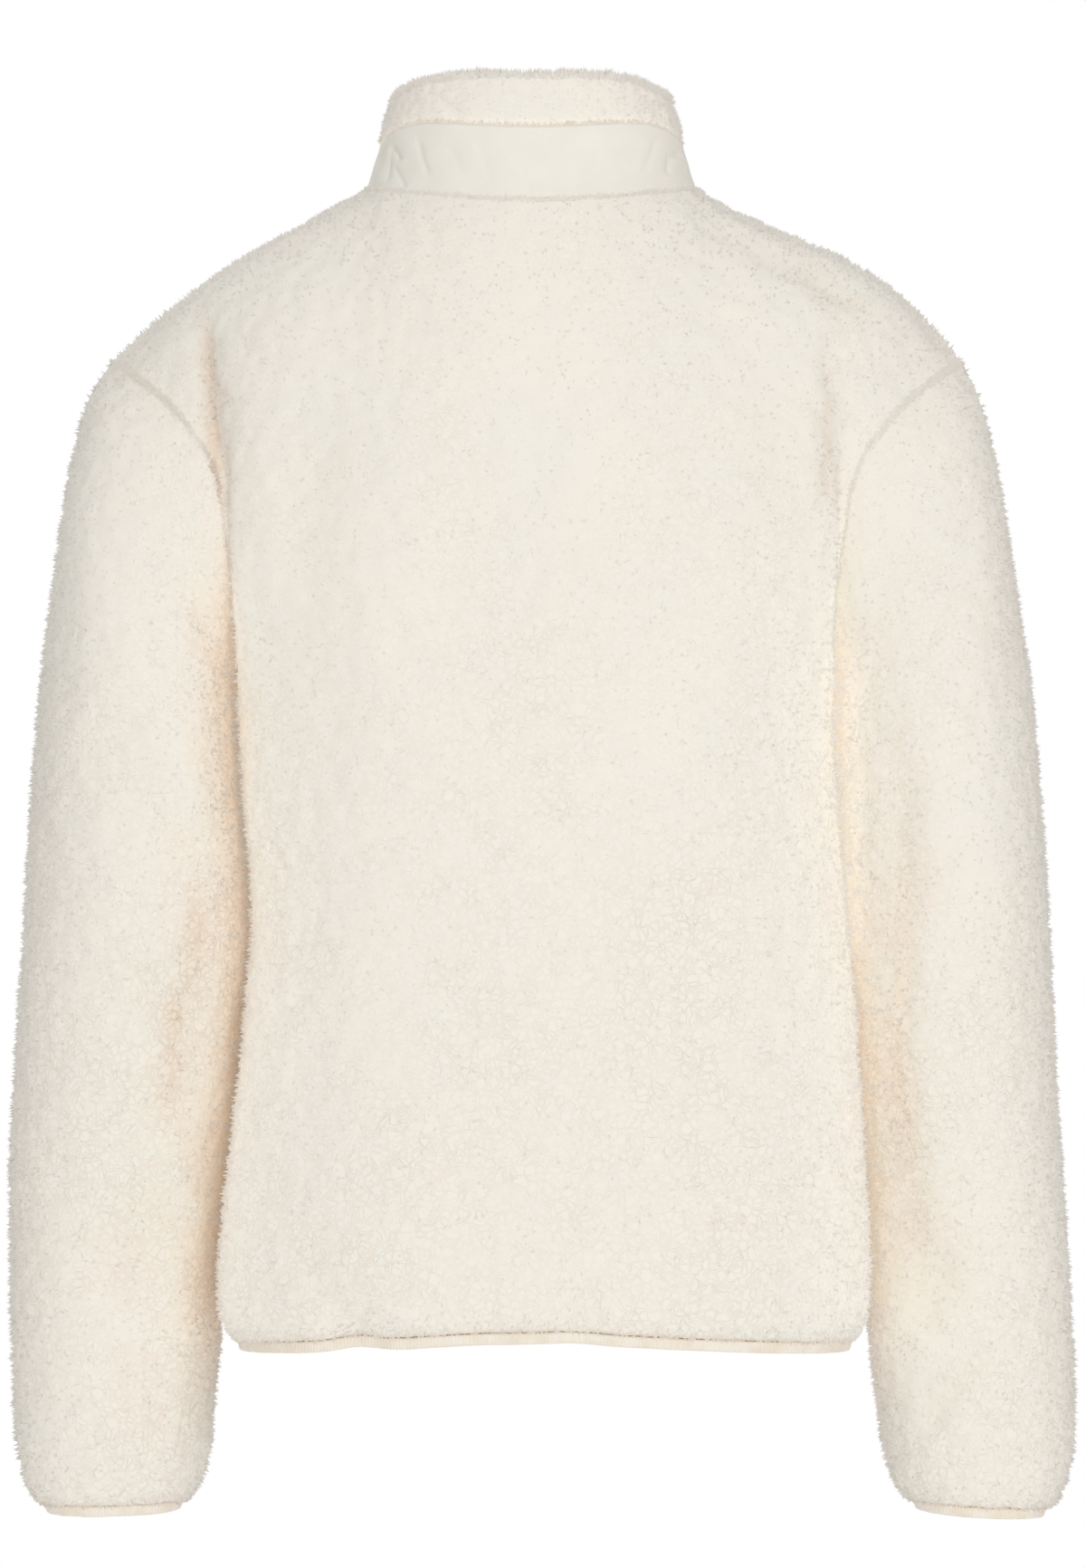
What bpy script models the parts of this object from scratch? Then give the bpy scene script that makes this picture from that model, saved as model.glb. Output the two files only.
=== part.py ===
"""Sherpa jacket worn by nobody: back, two fronts, two sleeves, a two-part collar,
elastic bindings and a full-length front zip whose pull tab swings.

Metres, +Z up.  The front faces -Y and the wearer's left is +X.  The origin is the
middle of the neck base, where the wearer holds the jacket up.  Every cloth piece is
a closed wall: a grid of points on its outer face and the same grid moved inwards.
"""
import math

import bmesh
import bpy
import mathutils
import numpy as np

for leftover in list(bpy.data.objects):
    bpy.data.objects.remove(leftover, do_unlink=True)

# ---------------------------------------------------------------- driving sizes
SHERPA = 0.0070             # wall with its pile
WOVEN = 0.0022              # wall of the woven under collar
BAND = 0.0080               # wall of the sherpa upper collar
HALF_GAP = 0.00020          # each piece stops this far short of a seam
STAND_GAP = 0.00050         # the thin stand stops a little further from its seams

NECK_STEPS = 6              # columns from the centre line to the neck point
SHOULDER_STEPS = 9          # columns from the neck point to the shoulder tip
ARMHOLE_STEPS = 11          # rows from the shoulder tip to the underarm
NECK_SHARE = 0.48           # share of the columns' run that the neckline takes
ZIP_EDGE = 0.0060           # front edges stand this far from the centre line

NECK_SHIFT = 0.0041         # the neck sits a little to the wearer's left
NECK_HALF_WIDTH = 0.0945
NECK_HALF_DEPTH = 0.0770
NECK_CENTRE_Y = -0.0110
NECK_BACK_Z = -0.0055
NECK_SIDE_Z = 0.0040
NECK_FRONT_Z = -0.0790

SHOULDER_TIP = {1: (0.2430, -0.0050, -0.0930), -1: (0.2420, -0.0050, -0.0940)}
SHOULDER_ARCH = {1: (0.0085, 1.3), -1: (0.0165, 1.7)}  # rise over a straight line, skew
UNDERARM_DROP = 0.2950      # underarm below the origin
HEM_ARCH = 0.0095           # the hem rises this much at the centre back

ARM_PRESS = 0.0100          # how deep the arm dents the side
ARM_PRESS_REACH = 0.0450
SIDE_FULLNESS = 1.015
SECTION_POWER = 3.0         # 2 is an ellipse, more is boxier
SLEEVE_POWER = 2.3
ARMHOLE_PULL = 0.75         # how much of the armhole's own shape the first rings keep
ARMHOLE_FADE = 0.25         # and how much less each next ring keeps

# Rows of the body below the origin: drop, half width left, half width right,
# back depth, front depth, place of the arm's dent along Y.
BODY = np.array([
    (0.000, 0.1600, 0.1600, 0.0660, 0.0720, 0.000),
    (0.030, 0.1650, 0.1620, 0.0800, 0.0790, 0.000),
    (0.070, 0.1700, 0.1640, 0.0950, 0.0865, 0.000),
    (0.110, 0.1740, 0.1660, 0.1050, 0.0970, 0.000),
    (0.160, 0.1770, 0.1670, 0.1130, 0.1090, 0.000),
    (0.220, 0.1780, 0.1680, 0.1190, 0.1180, 0.000),
    (0.295, 0.1740, 0.1700, 0.1220, 0.1240, 0.000),
    (0.345, 0.1695, 0.1725, 0.1205, 0.1260, -0.002),
    (0.380, 0.1665, 0.1745, 0.1190, 0.1270, -0.004),
    (0.415, 0.1645, 0.1765, 0.1180, 0.1275, -0.007),
    (0.455, 0.1665, 0.1795, 0.1175, 0.1275, -0.011),
    (0.495, 0.1700, 0.1815, 0.1180, 0.1275, -0.015),
    (0.540, 0.1745, 0.1840, 0.1195, 0.1275, -0.020),
    (0.580, 0.1785, 0.1855, 0.1210, 0.1270, -0.025),
    (0.612, 0.1805, 0.1865, 0.1220, 0.1265, -0.027),
    (0.633, 0.1790, 0.1850, 0.1205, 0.1245, -0.029),
    (0.648, 0.1710, 0.1780, 0.1140, 0.1185, -0.031),
])
LOWER_ROWS = BODY[7:, 0]    # the rows that the wall has below the underarm

# The armhole seam from the shoulder tip to the underarm, on the back and on the
# front: share of the run, share of the way in from tip to underarm, y, drop.
ARMHOLE_BACK = np.array([
    (0.00, 0.00, -0.005, 0.093),
    (0.16, 0.20, 0.028, 0.104),
    (0.32, 0.53, 0.052, 0.126),
    (0.48, 0.80, 0.064, 0.158),
    (0.64, 0.90, 0.063, 0.200),
    (0.82, 0.96, 0.044, 0.250),
    (1.00, 1.00, 0.000, UNDERARM_DROP),
])
ARMHOLE_FRONT = np.array([
    (0.00, 0.00, -0.005, 0.093),
    (0.16, 0.18, -0.037, 0.105),
    (0.32, 0.48, -0.059, 0.128),
    (0.48, 0.76, -0.069, 0.160),
    (0.64, 0.90, -0.067, 0.202),
    (0.82, 0.97, -0.046, 0.252),
    (1.00, 1.00, 0.000, UNDERARM_DROP),
])
ARMHOLE_CENTRE = (0.168, -0.002, -0.195)

# Rings of each sleeve: drop of the outer side, drop of the inner side, outer x,
# inner x, middle y, half depth.  The first row follows the armhole itself.
SLEEVE = {
    1: np.array([
        (0.098, 0.297, 0.2450, 0.1700, 0.001, 0.066),
        (0.118, 0.306, 0.2570, 0.1715, 0.003, 0.070),
        (0.150, 0.322, 0.2650, 0.1705, 0.006, 0.074),
        (0.188, 0.340, 0.2700, 0.1685, 0.008, 0.077),
        (0.230, 0.360, 0.2755, 0.1665, 0.009, 0.078),
        (0.274, 0.382, 0.2810, 0.1650, 0.008, 0.077),
        (0.318, 0.406, 0.2855, 0.1635, 0.006, 0.076),
        (0.362, 0.432, 0.2885, 0.1640, 0.003, 0.074),
        (0.406, 0.460, 0.2910, 0.1665, -0.001, 0.071),
        (0.450, 0.490, 0.2945, 0.1690, -0.006, 0.069),
        (0.494, 0.522, 0.2975, 0.1725, -0.012, 0.067),
        (0.538, 0.554, 0.3005, 0.1755, -0.018, 0.065),
        (0.582, 0.588, 0.3015, 0.1790, -0.024, 0.063),
        (0.624, 0.624, 0.3015, 0.1820, -0.029, 0.061),
        (0.662, 0.660, 0.3010, 0.1840, -0.034, 0.059),
        (0.694, 0.690, 0.3000, 0.1875, -0.038, 0.056),
        (0.720, 0.717, 0.2975, 0.1900, -0.040, 0.051),
        (0.738, 0.735, 0.2925, 0.1955, -0.041, 0.046),
        (0.747, 0.745, 0.2850, 0.2030, -0.041, 0.040),
    ]),
    -1: np.array([
        (0.099, 0.297, 0.2440, 0.1665, 0.001, 0.066),
        (0.120, 0.306, 0.2530, 0.1680, 0.003, 0.070),
        (0.152, 0.322, 0.2600, 0.1690, 0.006, 0.074),
        (0.190, 0.340, 0.2655, 0.1700, 0.008, 0.077),
        (0.232, 0.360, 0.2715, 0.1710, 0.009, 0.078),
        (0.276, 0.382, 0.2780, 0.1725, 0.008, 0.077),
        (0.320, 0.406, 0.2825, 0.1745, 0.006, 0.076),
        (0.364, 0.432, 0.2860, 0.1770, 0.003, 0.074),
        (0.408, 0.460, 0.2890, 0.1795, -0.001, 0.071),
        (0.452, 0.490, 0.2915, 0.1815, -0.006, 0.069),
        (0.496, 0.522, 0.2940, 0.1835, -0.012, 0.067),
        (0.540, 0.554, 0.2970, 0.1855, -0.018, 0.065),
        (0.584, 0.588, 0.3005, 0.1875, -0.024, 0.063),
        (0.626, 0.624, 0.3035, 0.1890, -0.029, 0.061),
        (0.664, 0.660, 0.3060, 0.1915, -0.034, 0.059),
        (0.696, 0.690, 0.3070, 0.1955, -0.038, 0.056),
        (0.722, 0.717, 0.3055, 0.1995, -0.040, 0.051),
        (0.740, 0.735, 0.3000, 0.2060, -0.041, 0.046),
        (0.749, 0.745, 0.2930, 0.2140, -0.041, 0.040),
    ]),
}

# The collar, from the neck seam up: height at the centre back, at the sides and at the
# front, share of the neckline's width and depth, and how squarely the height falls away
# from the centre to the sides.
STAND = np.array([
    (0.0000, 0.0000, 0.0000, 1.000, 2.0),
    (0.0100, 0.0080, 0.0100, 0.971, 3.0),
    (0.0240, 0.0170, 0.0210, 0.942, 5.0),
    (0.0405, 0.0265, 0.0340, 0.912, 7.0),
])
BAND_ROWS = np.array([
    (0.0405, 0.0265, 0.0340, 0.912, 7.0),
    (0.0500, 0.0345, 0.0440, 0.897, 5.0),
    (0.0600, 0.0435, 0.0560, 0.873, 3.5),
    (0.0670, 0.0495, 0.0640, 0.842, 2.6),
    (0.0700, 0.0530, 0.0670, 0.803, 2.3),
])

# The largest folds: which piece, where each starts and ends (x and drop; on a
# sleeve the angle round from the outer side, in turns towards the back, and
# drop), half width, and depth, in metres and turns.
FOLDS = (
    ("back", 0.1860, 0.070, 0.1840, 0.170, 0.0110, 0.0110),
    ("back", -0.1640, 0.080, -0.1640, 0.170, 0.0110, 0.0090),
    ("back", 0.1290, 0.130, 0.1380, 0.310, 0.0260, 0.0075),
    ("back", -0.1360, 0.100, -0.1450, 0.250, 0.0220, 0.0055),
    ("back", -0.1000, 0.018, -0.1800, 0.062, 0.0100, 0.0035),
    ("back", 0.1360, 0.590, 0.0960, 0.650, 0.0150, 0.0060),
    ("front", 0.1280, 0.150, 0.1400, 0.340, 0.0260, 0.0070),
    ("front", -0.1300, 0.140, -0.1420, 0.320, 0.0260, 0.0070),
    ("front", 0.1100, 0.580, 0.0780, 0.650, 0.0160, 0.0055),
    ("sleeve_right", 0.170, 0.170, 0.360, 0.260, 0.0550, 0.0055),
    ("sleeve_right", 0.305, 0.320, 0.375, 0.460, 0.0500, 0.0090),
    ("sleeve_right", 0.385, 0.470, 0.360, 0.560, 0.0500, 0.0060),
    ("sleeve_right", 0.370, 0.575, 0.290, 0.630, 0.0550, 0.0060),
    ("sleeve_right", 0.820, 0.340, 0.640, 0.420, 0.0600, 0.0070),
    ("sleeve_right", 0.660, 0.470, 0.760, 0.560, 0.0550, 0.0055),
    ("sleeve_left", 0.200, 0.300, 0.350, 0.380, 0.0600, 0.0050),
    ("sleeve_left", 0.370, 0.400, 0.330, 0.520, 0.0500, 0.0065),
    ("sleeve_left", 0.340, 0.570, 0.240, 0.620, 0.0550, 0.0045),
    ("sleeve_left", 0.830, 0.330, 0.640, 0.410, 0.0600, 0.0070),
    ("sleeve_left", 0.650, 0.480, 0.760, 0.570, 0.0550, 0.0055),
)
SLEEVE_TURN_LENGTH = 0.45   # one turn round a sleeve, to weigh turns against metres
FOLD_FADE = 0.35            # share of a fold's run over which each end dies out
PLAIN_RINGS = (4, 3)        # rings at the armhole and at the cuff that folds don't reach

BINDING_HEIGHT = 0.0065
BINDING_WALL = 0.0040
BINDING_INSET = 0.0012      # the binding lies this far inside the pile's face
BINDING_HANG = 0.55         # 0 carries on along the cloth, 1 hangs straight down

TAPE_WIDTH = 0.0150
TAPE_WALL = 0.0012
TAPE_ENDS = (4, 3)          # rows of the stand and of the band that the tapes run past
TAPE_GAP = 0.0004           # tape to the inside of the front, and tape to tape

SLIDER_DROP = 0.0110        # pull hinge below the top end of the tapes
SLIDER_LIFT = 0.0006        # slider's underside over the tapes
SLIDER_WALL = 0.0034
SLIDER_OUTLINE = ((-0.0030, -0.0064), (0.0030, -0.0064), (0.0044, -0.0030), (0.0044, 0.0044),
                  (0.0024, 0.0060), (-0.0024, 0.0060), (-0.0044, 0.0044), (-0.0044, -0.0030))
BRIDGE_WIDTH = 0.0022       # the arch that the pull hangs from
BRIDGE_WALL = 0.0010
BRIDGE_SPAN = 0.0062
BRIDGE_RISE = 0.0031
BRIDGE_ROOT = 0.0008        # how deep the arch is set into the slider
HINGE_RISE = 0.0010         # pull's axis over the slider's face
PULL_BAR = 0.0007           # radius of the round bar under the bridge
PULL_BAR_LENGTH = 0.0054
PULL_WALL = 0.0010
PULL_HALF_WIDTH = 0.0035
PULL_WAIST = 0.0026
PULL_LENGTH = 0.0250
EYE_HALF_WIDTH = 0.0018
EYE_LENGTH = 0.0053

CREAM = (0.86, 0.80, 0.70)
IVORY = (0.80, 0.76, 0.67)
BINDING_COLOUR = (0.74, 0.66, 0.54)
METAL = (0.55, 0.54, 0.52)


# ---------------------------------------------------------------- curves and grids
def smooth(table, column, at):
    """Smooth curve through one column of a table against its first column."""
    keys = table[:, 0]
    values = table[:, column]
    slopes = np.gradient(values, keys)
    at = np.clip(at, keys[0], keys[-1])
    low = np.clip(np.searchsorted(keys, at, side="right") - 1, 0, len(keys) - 2)
    span = keys[low + 1] - keys[low]
    f = (at - keys[low]) / span
    start = (1 + 2 * f) * (1 - f) ** 2 * values[low] + f * (1 - f) ** 2 * span * slopes[low]
    end = f * f * (3 - 2 * f) * values[low + 1] + f * f * (f - 1) * span * slopes[low + 1]
    return start + end


def unit(vectors):
    """The same directions with length one."""
    return vectors / np.maximum(np.linalg.norm(vectors, axis=-1, keepdims=True), 1e-12)


def mix(a, b, share):
    """Weighted mean, all a at 0 and all b at 1."""
    return a + (b - a) * share


def neckline(theta, side):
    """Neck seam at angle theta from the centre back: an ellipse in plan, highest at
    the neck points and lowest at the centre front, parted there for the zip."""
    front = np.clip(theta / (math.pi / 2) - 1, 0, 1)
    end = np.where(theta <= math.pi / 2, NECK_BACK_Z, NECK_FRONT_Z)
    x = NECK_SHIFT * (1 - front) + side * (NECK_HALF_WIDTH * np.sin(theta) + ZIP_EDGE * front)
    y = NECK_CENTRE_Y + NECK_HALF_DEPTH * np.cos(theta)
    z = NECK_SIDE_Z + (end - NECK_SIDE_Z) * np.cos(theta) ** 2
    return np.stack([x, y, z], axis=-1)


def section(u, drop, side, facing):
    """Level section of the body from the centre line (u = 0) to the side seam
    (u = 1): a polar superellipse with the arm's dent in its side."""
    theta = u * math.pi / 2
    width = smooth(BODY, 1 if side > 0 else 2, drop) * SIDE_FULLNESS
    depth = smooth(BODY, 3 if facing > 0 else 4, drop)
    power = SECTION_POWER
    radius = ((np.sin(theta) / width) ** power + (np.cos(theta) / depth) ** power) ** (-1 / power)
    y = facing * radius * np.cos(theta)
    press = ARM_PRESS * np.exp(-((y - smooth(BODY, 5, drop)) / ARM_PRESS_REACH) ** 2)
    x = radius * np.sin(theta) - press * np.sin(theta) ** 4
    if facing < 0:
        x = x + ZIP_EDGE * np.clip(1 - u / NECK_SHARE, 0, 1)
    arch = HEM_ARCH * np.cos(theta) ** 2 if facing > 0 else 0.0
    lift = arch * np.clip((drop - UNDERARM_DROP) / (BODY[-1, 0] - UNDERARM_DROP), 0, 1)
    return np.stack([side * x, y, lift - drop + 0 * theta], axis=-1)


def shoulder_line(u, side):
    """Top row: neckline up to the neck point, then the arched shoulder seam."""
    along = np.clip((u - NECK_SHARE) / (1 - NECK_SHARE), 0, 1)[..., None]
    point = neckline(np.array(math.pi / 2), side)
    tip = np.array(SHOULDER_TIP[side]) * (side, 1, 1)
    seam = mix(point, tip, along)
    rise, skew = SHOULDER_ARCH[side]
    seam[..., 2] += rise * np.sin(math.pi * along[..., 0] ** skew)
    return seam


def armhole(v, side, facing):
    """Armhole seam from the shoulder tip (v = 0) to the underarm (v = 1)."""
    table = ARMHOLE_BACK if facing > 0 else ARMHOLE_FRONT
    tip = SHOULDER_TIP[side][0]
    low = section(np.array(1.0), np.array(UNDERARM_DROP), side, facing)[0] * side
    x = side * mix(tip, low, smooth(table, 1, v))
    start = SHOULDER_TIP[side][2] + table[0, 3]
    return np.stack([x, smooth(table, 2, v), start * (1 - v) - smooth(table, 3, v)], axis=-1)


def upper_body(u, v, side, facing):
    """Body above the underarm: a patch between the top row, the underarm row, the
    centre line and the armhole.  Depth grows like a sine and height like one minus
    a cosine, so that the cloth rolls over the shoulder."""
    theta = np.clip(u / NECK_SHARE, 0, 1) * math.pi / 2
    neck = neckline(theta if facing > 0 else math.pi - theta, side)
    top = np.where((u <= NECK_SHARE)[..., None], neck, shoulder_line(u, side))
    low = section(u, np.full_like(u, UNDERARM_DROP), side, facing)
    across = np.sin(v * math.pi / 2)
    share = np.stack([across, across, 1 - np.cos(v * math.pi / 2)], axis=-1)

    zero = np.zeros_like(v)
    centre_top = neckline(zero if facing > 0 else zero + math.pi, side)
    centre_low = section(zero, zero + UNDERARM_DROP, side, facing)
    centre_z = mix(centre_top[..., 2], centre_low[..., 2], v)
    column = 3 if facing > 0 else 4
    start = facing * centre_top[..., 1] - smooth(BODY, column, -centre_top[..., 2])
    depth = smooth(BODY, column, -centre_z) + start * (1 - v)
    centre_x = mix(centre_top[..., 0], centre_low[..., 0], v)
    centre = np.stack([centre_x, facing * depth, centre_z], axis=-1)

    side_top = shoulder_line(zero + 1, side)
    side_low = section(zero + 1, zero + UNDERARM_DROP, side, facing)
    seam = armhole(v, side, facing)
    near = ((1 - u) ** 3)[..., None]
    far = (u ** 3)[..., None]
    return (mix(top, low, share) + near * (centre - mix(centre_top, centre_low, share))
            + far * (seam - mix(side_top, side_low, share)))


def half_body(side, facing):
    """One half of the back or one front, rows from the shoulder to the hem and
    columns from the centre line to the armhole and side seam."""
    neck = np.linspace(0, NECK_SHARE, NECK_STEPS + 1)
    shoulder = np.linspace(NECK_SHARE, 1, SHOULDER_STEPS + 1)[1:]
    u, v = np.meshgrid(np.concatenate([neck, shoulder]), np.linspace(0, 1, ARMHOLE_STEPS + 1))
    upper = upper_body(u, v, side, facing)
    u, drop = np.meshgrid(u[0], LOWER_ROWS)
    lower = section(u, drop, side, facing)
    return np.concatenate([upper, lower])


def rounded(wave):
    """A cosine or sine made fuller, so that a ring is squarer than an ellipse."""
    return np.sign(wave) * np.abs(wave) ** (2 / SLEEVE_POWER)


def sleeve_rings(side):
    """Rings from the armhole to the cuff.  Each ring runs from the outer side round
    the back to the inner side and on round the front."""
    v = np.linspace(0, 1, ARMHOLE_STEPS + 1)
    loop = np.concatenate([armhole(v, side, 1), armhole(v[::-1], side, -1)[1:-1]])
    turn = np.linspace(0, 1, len(loop), endpoint=False) * 2 * math.pi
    rings = [loop]
    for index, row in enumerate(SLEEVE[side]):
        outer_drop, inner_drop, outer_x, inner_x, middle, half_depth = row
        outwards = (1 + rounded(np.cos(turn))) / 2
        ring = np.stack([side * mix(inner_x, outer_x, outwards), middle + half_depth * rounded(np.sin(turn)),
                         -mix(inner_drop, outer_drop, outwards)], axis=-1)
        if index == 0:
            drift = loop - ring
        else:
            rings.append(ring + max(0.0, ARMHOLE_PULL - ARMHOLE_FADE * index) * drift)
    return np.array(rings)


def collar_rows(table):
    """Collar rows from the wearer's right front round the back to the left front."""
    theta = np.linspace(0, math.pi, 2 * NECK_STEPS + 1)
    halves = []
    for side in (-1, 1):
        base = neckline(theta, side)
        centre = np.array([NECK_SHIFT, NECK_CENTRE_Y, 0])
        rows = []
        for back, flank, front, share, power in table:
            end = np.where(theta <= math.pi / 2, back, front)
            height = flank + (end - flank) * (1 - np.sin(theta) ** power)
            row = centre + (base - centre) * (share, share, 1)
            row[:, 2] += height
            row[-1, 0] = base[-1, 0]
            rows.append(row)
        halves.append(np.array(rows))
    return np.concatenate([halves[0][:, ::-1], halves[1][:, 1:]], axis=1)


def fold_depth(piece, across, drop, scale=1.0):
    """How deep the largest folds press a piece in: a bell across each fold, and a
    soft start and end along it."""
    total = np.zeros_like(drop)
    for name, x0, drop0, x1, drop1, width, depth in FOLDS:
        if name != piece:
            continue
        along = np.array([(x1 - x0) * scale, drop1 - drop0])
        length = np.linalg.norm(along)
        offset = np.stack([(across - x0) * scale, drop - drop0], axis=-1)
        run = (offset @ along) / length ** 2
        away = (offset[..., 0] * along[1] - offset[..., 1] * along[0]) / length
        reach = np.clip(1 - np.maximum(np.abs(run - 0.5) - FOLD_FADE, 0) / FOLD_FADE, 0, 1)
        total += depth * np.exp(-(away / (width * scale)) ** 2) * reach ** 2 * (3 - 2 * reach)
    return total


# ---------------------------------------------------------------- walls
def grid_normals(grid, outwards, closed=False):
    """Directions square to a grid of points, on the side that the sign tells."""
    if closed:
        wide = np.concatenate([grid[:, -1:], grid, grid[:, :1]], axis=1)
        across = (wide[:, 2:] - wide[:, :-2]) / 2
    else:
        across = np.gradient(grid, axis=1)
    down = np.gradient(grid, axis=0)
    return outwards * unit(np.cross(across, down))


def pull_back(grid, normals, edge, gap):
    """How far one edge of a grid moves to stop short of its seam, within the
    cloth's own face."""
    rows = {"top": (0, 1), "bottom": (-1, -2)}
    if edge in rows:
        line, inner = grid[rows[edge][0]], grid[rows[edge][1]]
        normal = normals[rows[edge][0]]
    else:
        first, second = {"left": (0, 1), "right": (-1, -2)}[edge]
        line, inner = grid[:, first], grid[:, second]
        normal = normals[:, first]
    along = unit(np.gradient(line, axis=0))
    inwards = inner - line
    inwards = inwards - np.sum(inwards * normal, axis=-1, keepdims=True) * normal
    inwards = inwards - np.sum(inwards * along, axis=-1, keepdims=True) * along
    return unit(inwards) * gap


def shrink(grid, normals, edges, gap=HALF_GAP):
    """A grid whose named edges all stop short of their seams."""
    moved = grid.copy()
    for edge in edges:
        shift = pull_back(grid, normals, edge, gap)
        if edge == "top":
            moved[0] += shift
        elif edge == "bottom":
            moved[-1] += shift
        elif edge == "left":
            moved[:, 0] += shift
        else:
            moved[:, -1] += shift
    return moved


def build_object(name, vertices, faces, colour, roughness, metallic=0.0):
    """One closed mesh object with its own material, faces turned outwards."""
    mesh = bpy.data.meshes.new(name)
    mesh.from_pydata([tuple(point) for point in vertices], [], faces)
    work = bmesh.new()
    work.from_mesh(mesh)
    bmesh.ops.recalc_face_normals(work, faces=work.faces)
    work.to_mesh(mesh)
    work.free()
    mesh.shade_smooth()
    mesh.set_sharp_from_angle(angle=math.radians(50))
    item = bpy.data.objects.new(name, mesh)
    bpy.context.scene.collection.objects.link(item)
    finish = bpy.data.materials.new(name + "_finish")
    finish.use_nodes = True
    shader = finish.node_tree.nodes["Principled BSDF"]
    shader.inputs["Base Color"].default_value = (*colour, 1)
    shader.inputs["Roughness"].default_value = roughness
    shader.inputs["Metallic"].default_value = metallic
    mesh.materials.append(finish)
    return item


def wall(name, outer, inner, colour, roughness, closed=False):
    """Closed wall between two grids: outer faces, inner faces and the rims."""
    rows, columns = outer.shape[:2]
    vertices = np.concatenate([outer.reshape(-1, 3), inner.reshape(-1, 3)])
    out = np.arange(rows * columns).reshape(rows, columns)
    if closed:
        out = np.concatenate([out, out[:, :1]], axis=1)
    back = out + rows * columns
    faces = []
    for near, flip in ((out, False), (back, True)):
        quads = np.stack([near[:-1, :-1], near[1:, :-1], near[1:, 1:], near[:-1, 1:]], axis=-1)
        quads = quads.reshape(-1, 4)
        faces += (quads[:, ::-1] if flip else quads).tolist()
    rims = [(out[0], back[0]), (back[-1], out[-1])]
    if not closed:
        rims += [(back[:, 0], out[:, 0]), (out[:, -1], back[:, -1])]
    for one, two in rims:
        faces += np.stack([one[:-1], one[1:], two[1:], two[:-1]], axis=-1).tolist()
    return build_object(name, vertices, faces, colour, roughness)


def strip(name, rings, colour, roughness, closed=False):
    """Closed bar from a run of cross-section rings, capped where it doesn't close."""
    count, sides = rings.shape[:2]
    index = np.arange(count * sides).reshape(count, sides)
    index = np.concatenate([index, index[:, :1]], axis=1)
    if closed:
        index = np.concatenate([index, index[:1]])
    faces = np.stack([index[:-1, :-1], index[:-1, 1:], index[1:, 1:], index[1:, :-1]], axis=-1)
    faces = faces.reshape(-1, 4).tolist()
    if not closed:
        faces += [index[0, :-1].tolist(), index[-1, :-1][::-1].tolist()]
    return build_object(name, rings.reshape(-1, 3), faces, colour, roughness)


# ---------------------------------------------------------------- cloth pieces
def press_folds(grid, normals, piece, held_rows=1):
    """Moves a body panel in along its folds, which die out towards its seams."""
    depth = fold_depth(piece, grid[..., 0], -grid[..., 2])
    depth[:held_rows] = 0
    depth[:, 0] = 0
    depth[:, -1] = 0
    return grid - normals * depth[..., None]


def shape_body():
    """Outer grids and normals of the back and the two fronts, with the normals
    shared where two pieces meet."""
    back = np.concatenate([half_body(-1, 1)[:, ::-1], half_body(1, 1)[:, 1:]], axis=1)
    grids = {"back": back, "front_right": half_body(-1, -1), "front_left": half_body(1, -1)}
    signs = {"back": 1, "front_right": 1, "front_left": -1}
    for name in grids:
        grids[name] = press_folds(grids[name], grid_normals(grids[name], signs[name]), name.split("_")[0])
    return grids, {name: grid_normals(grids[name], signs[name]) for name in grids}


def share_normals(first, second):
    """Sets two views of edge normals to their common mean."""
    mean = unit(first + second)
    first[...] = mean
    second[...] = mean


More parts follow.
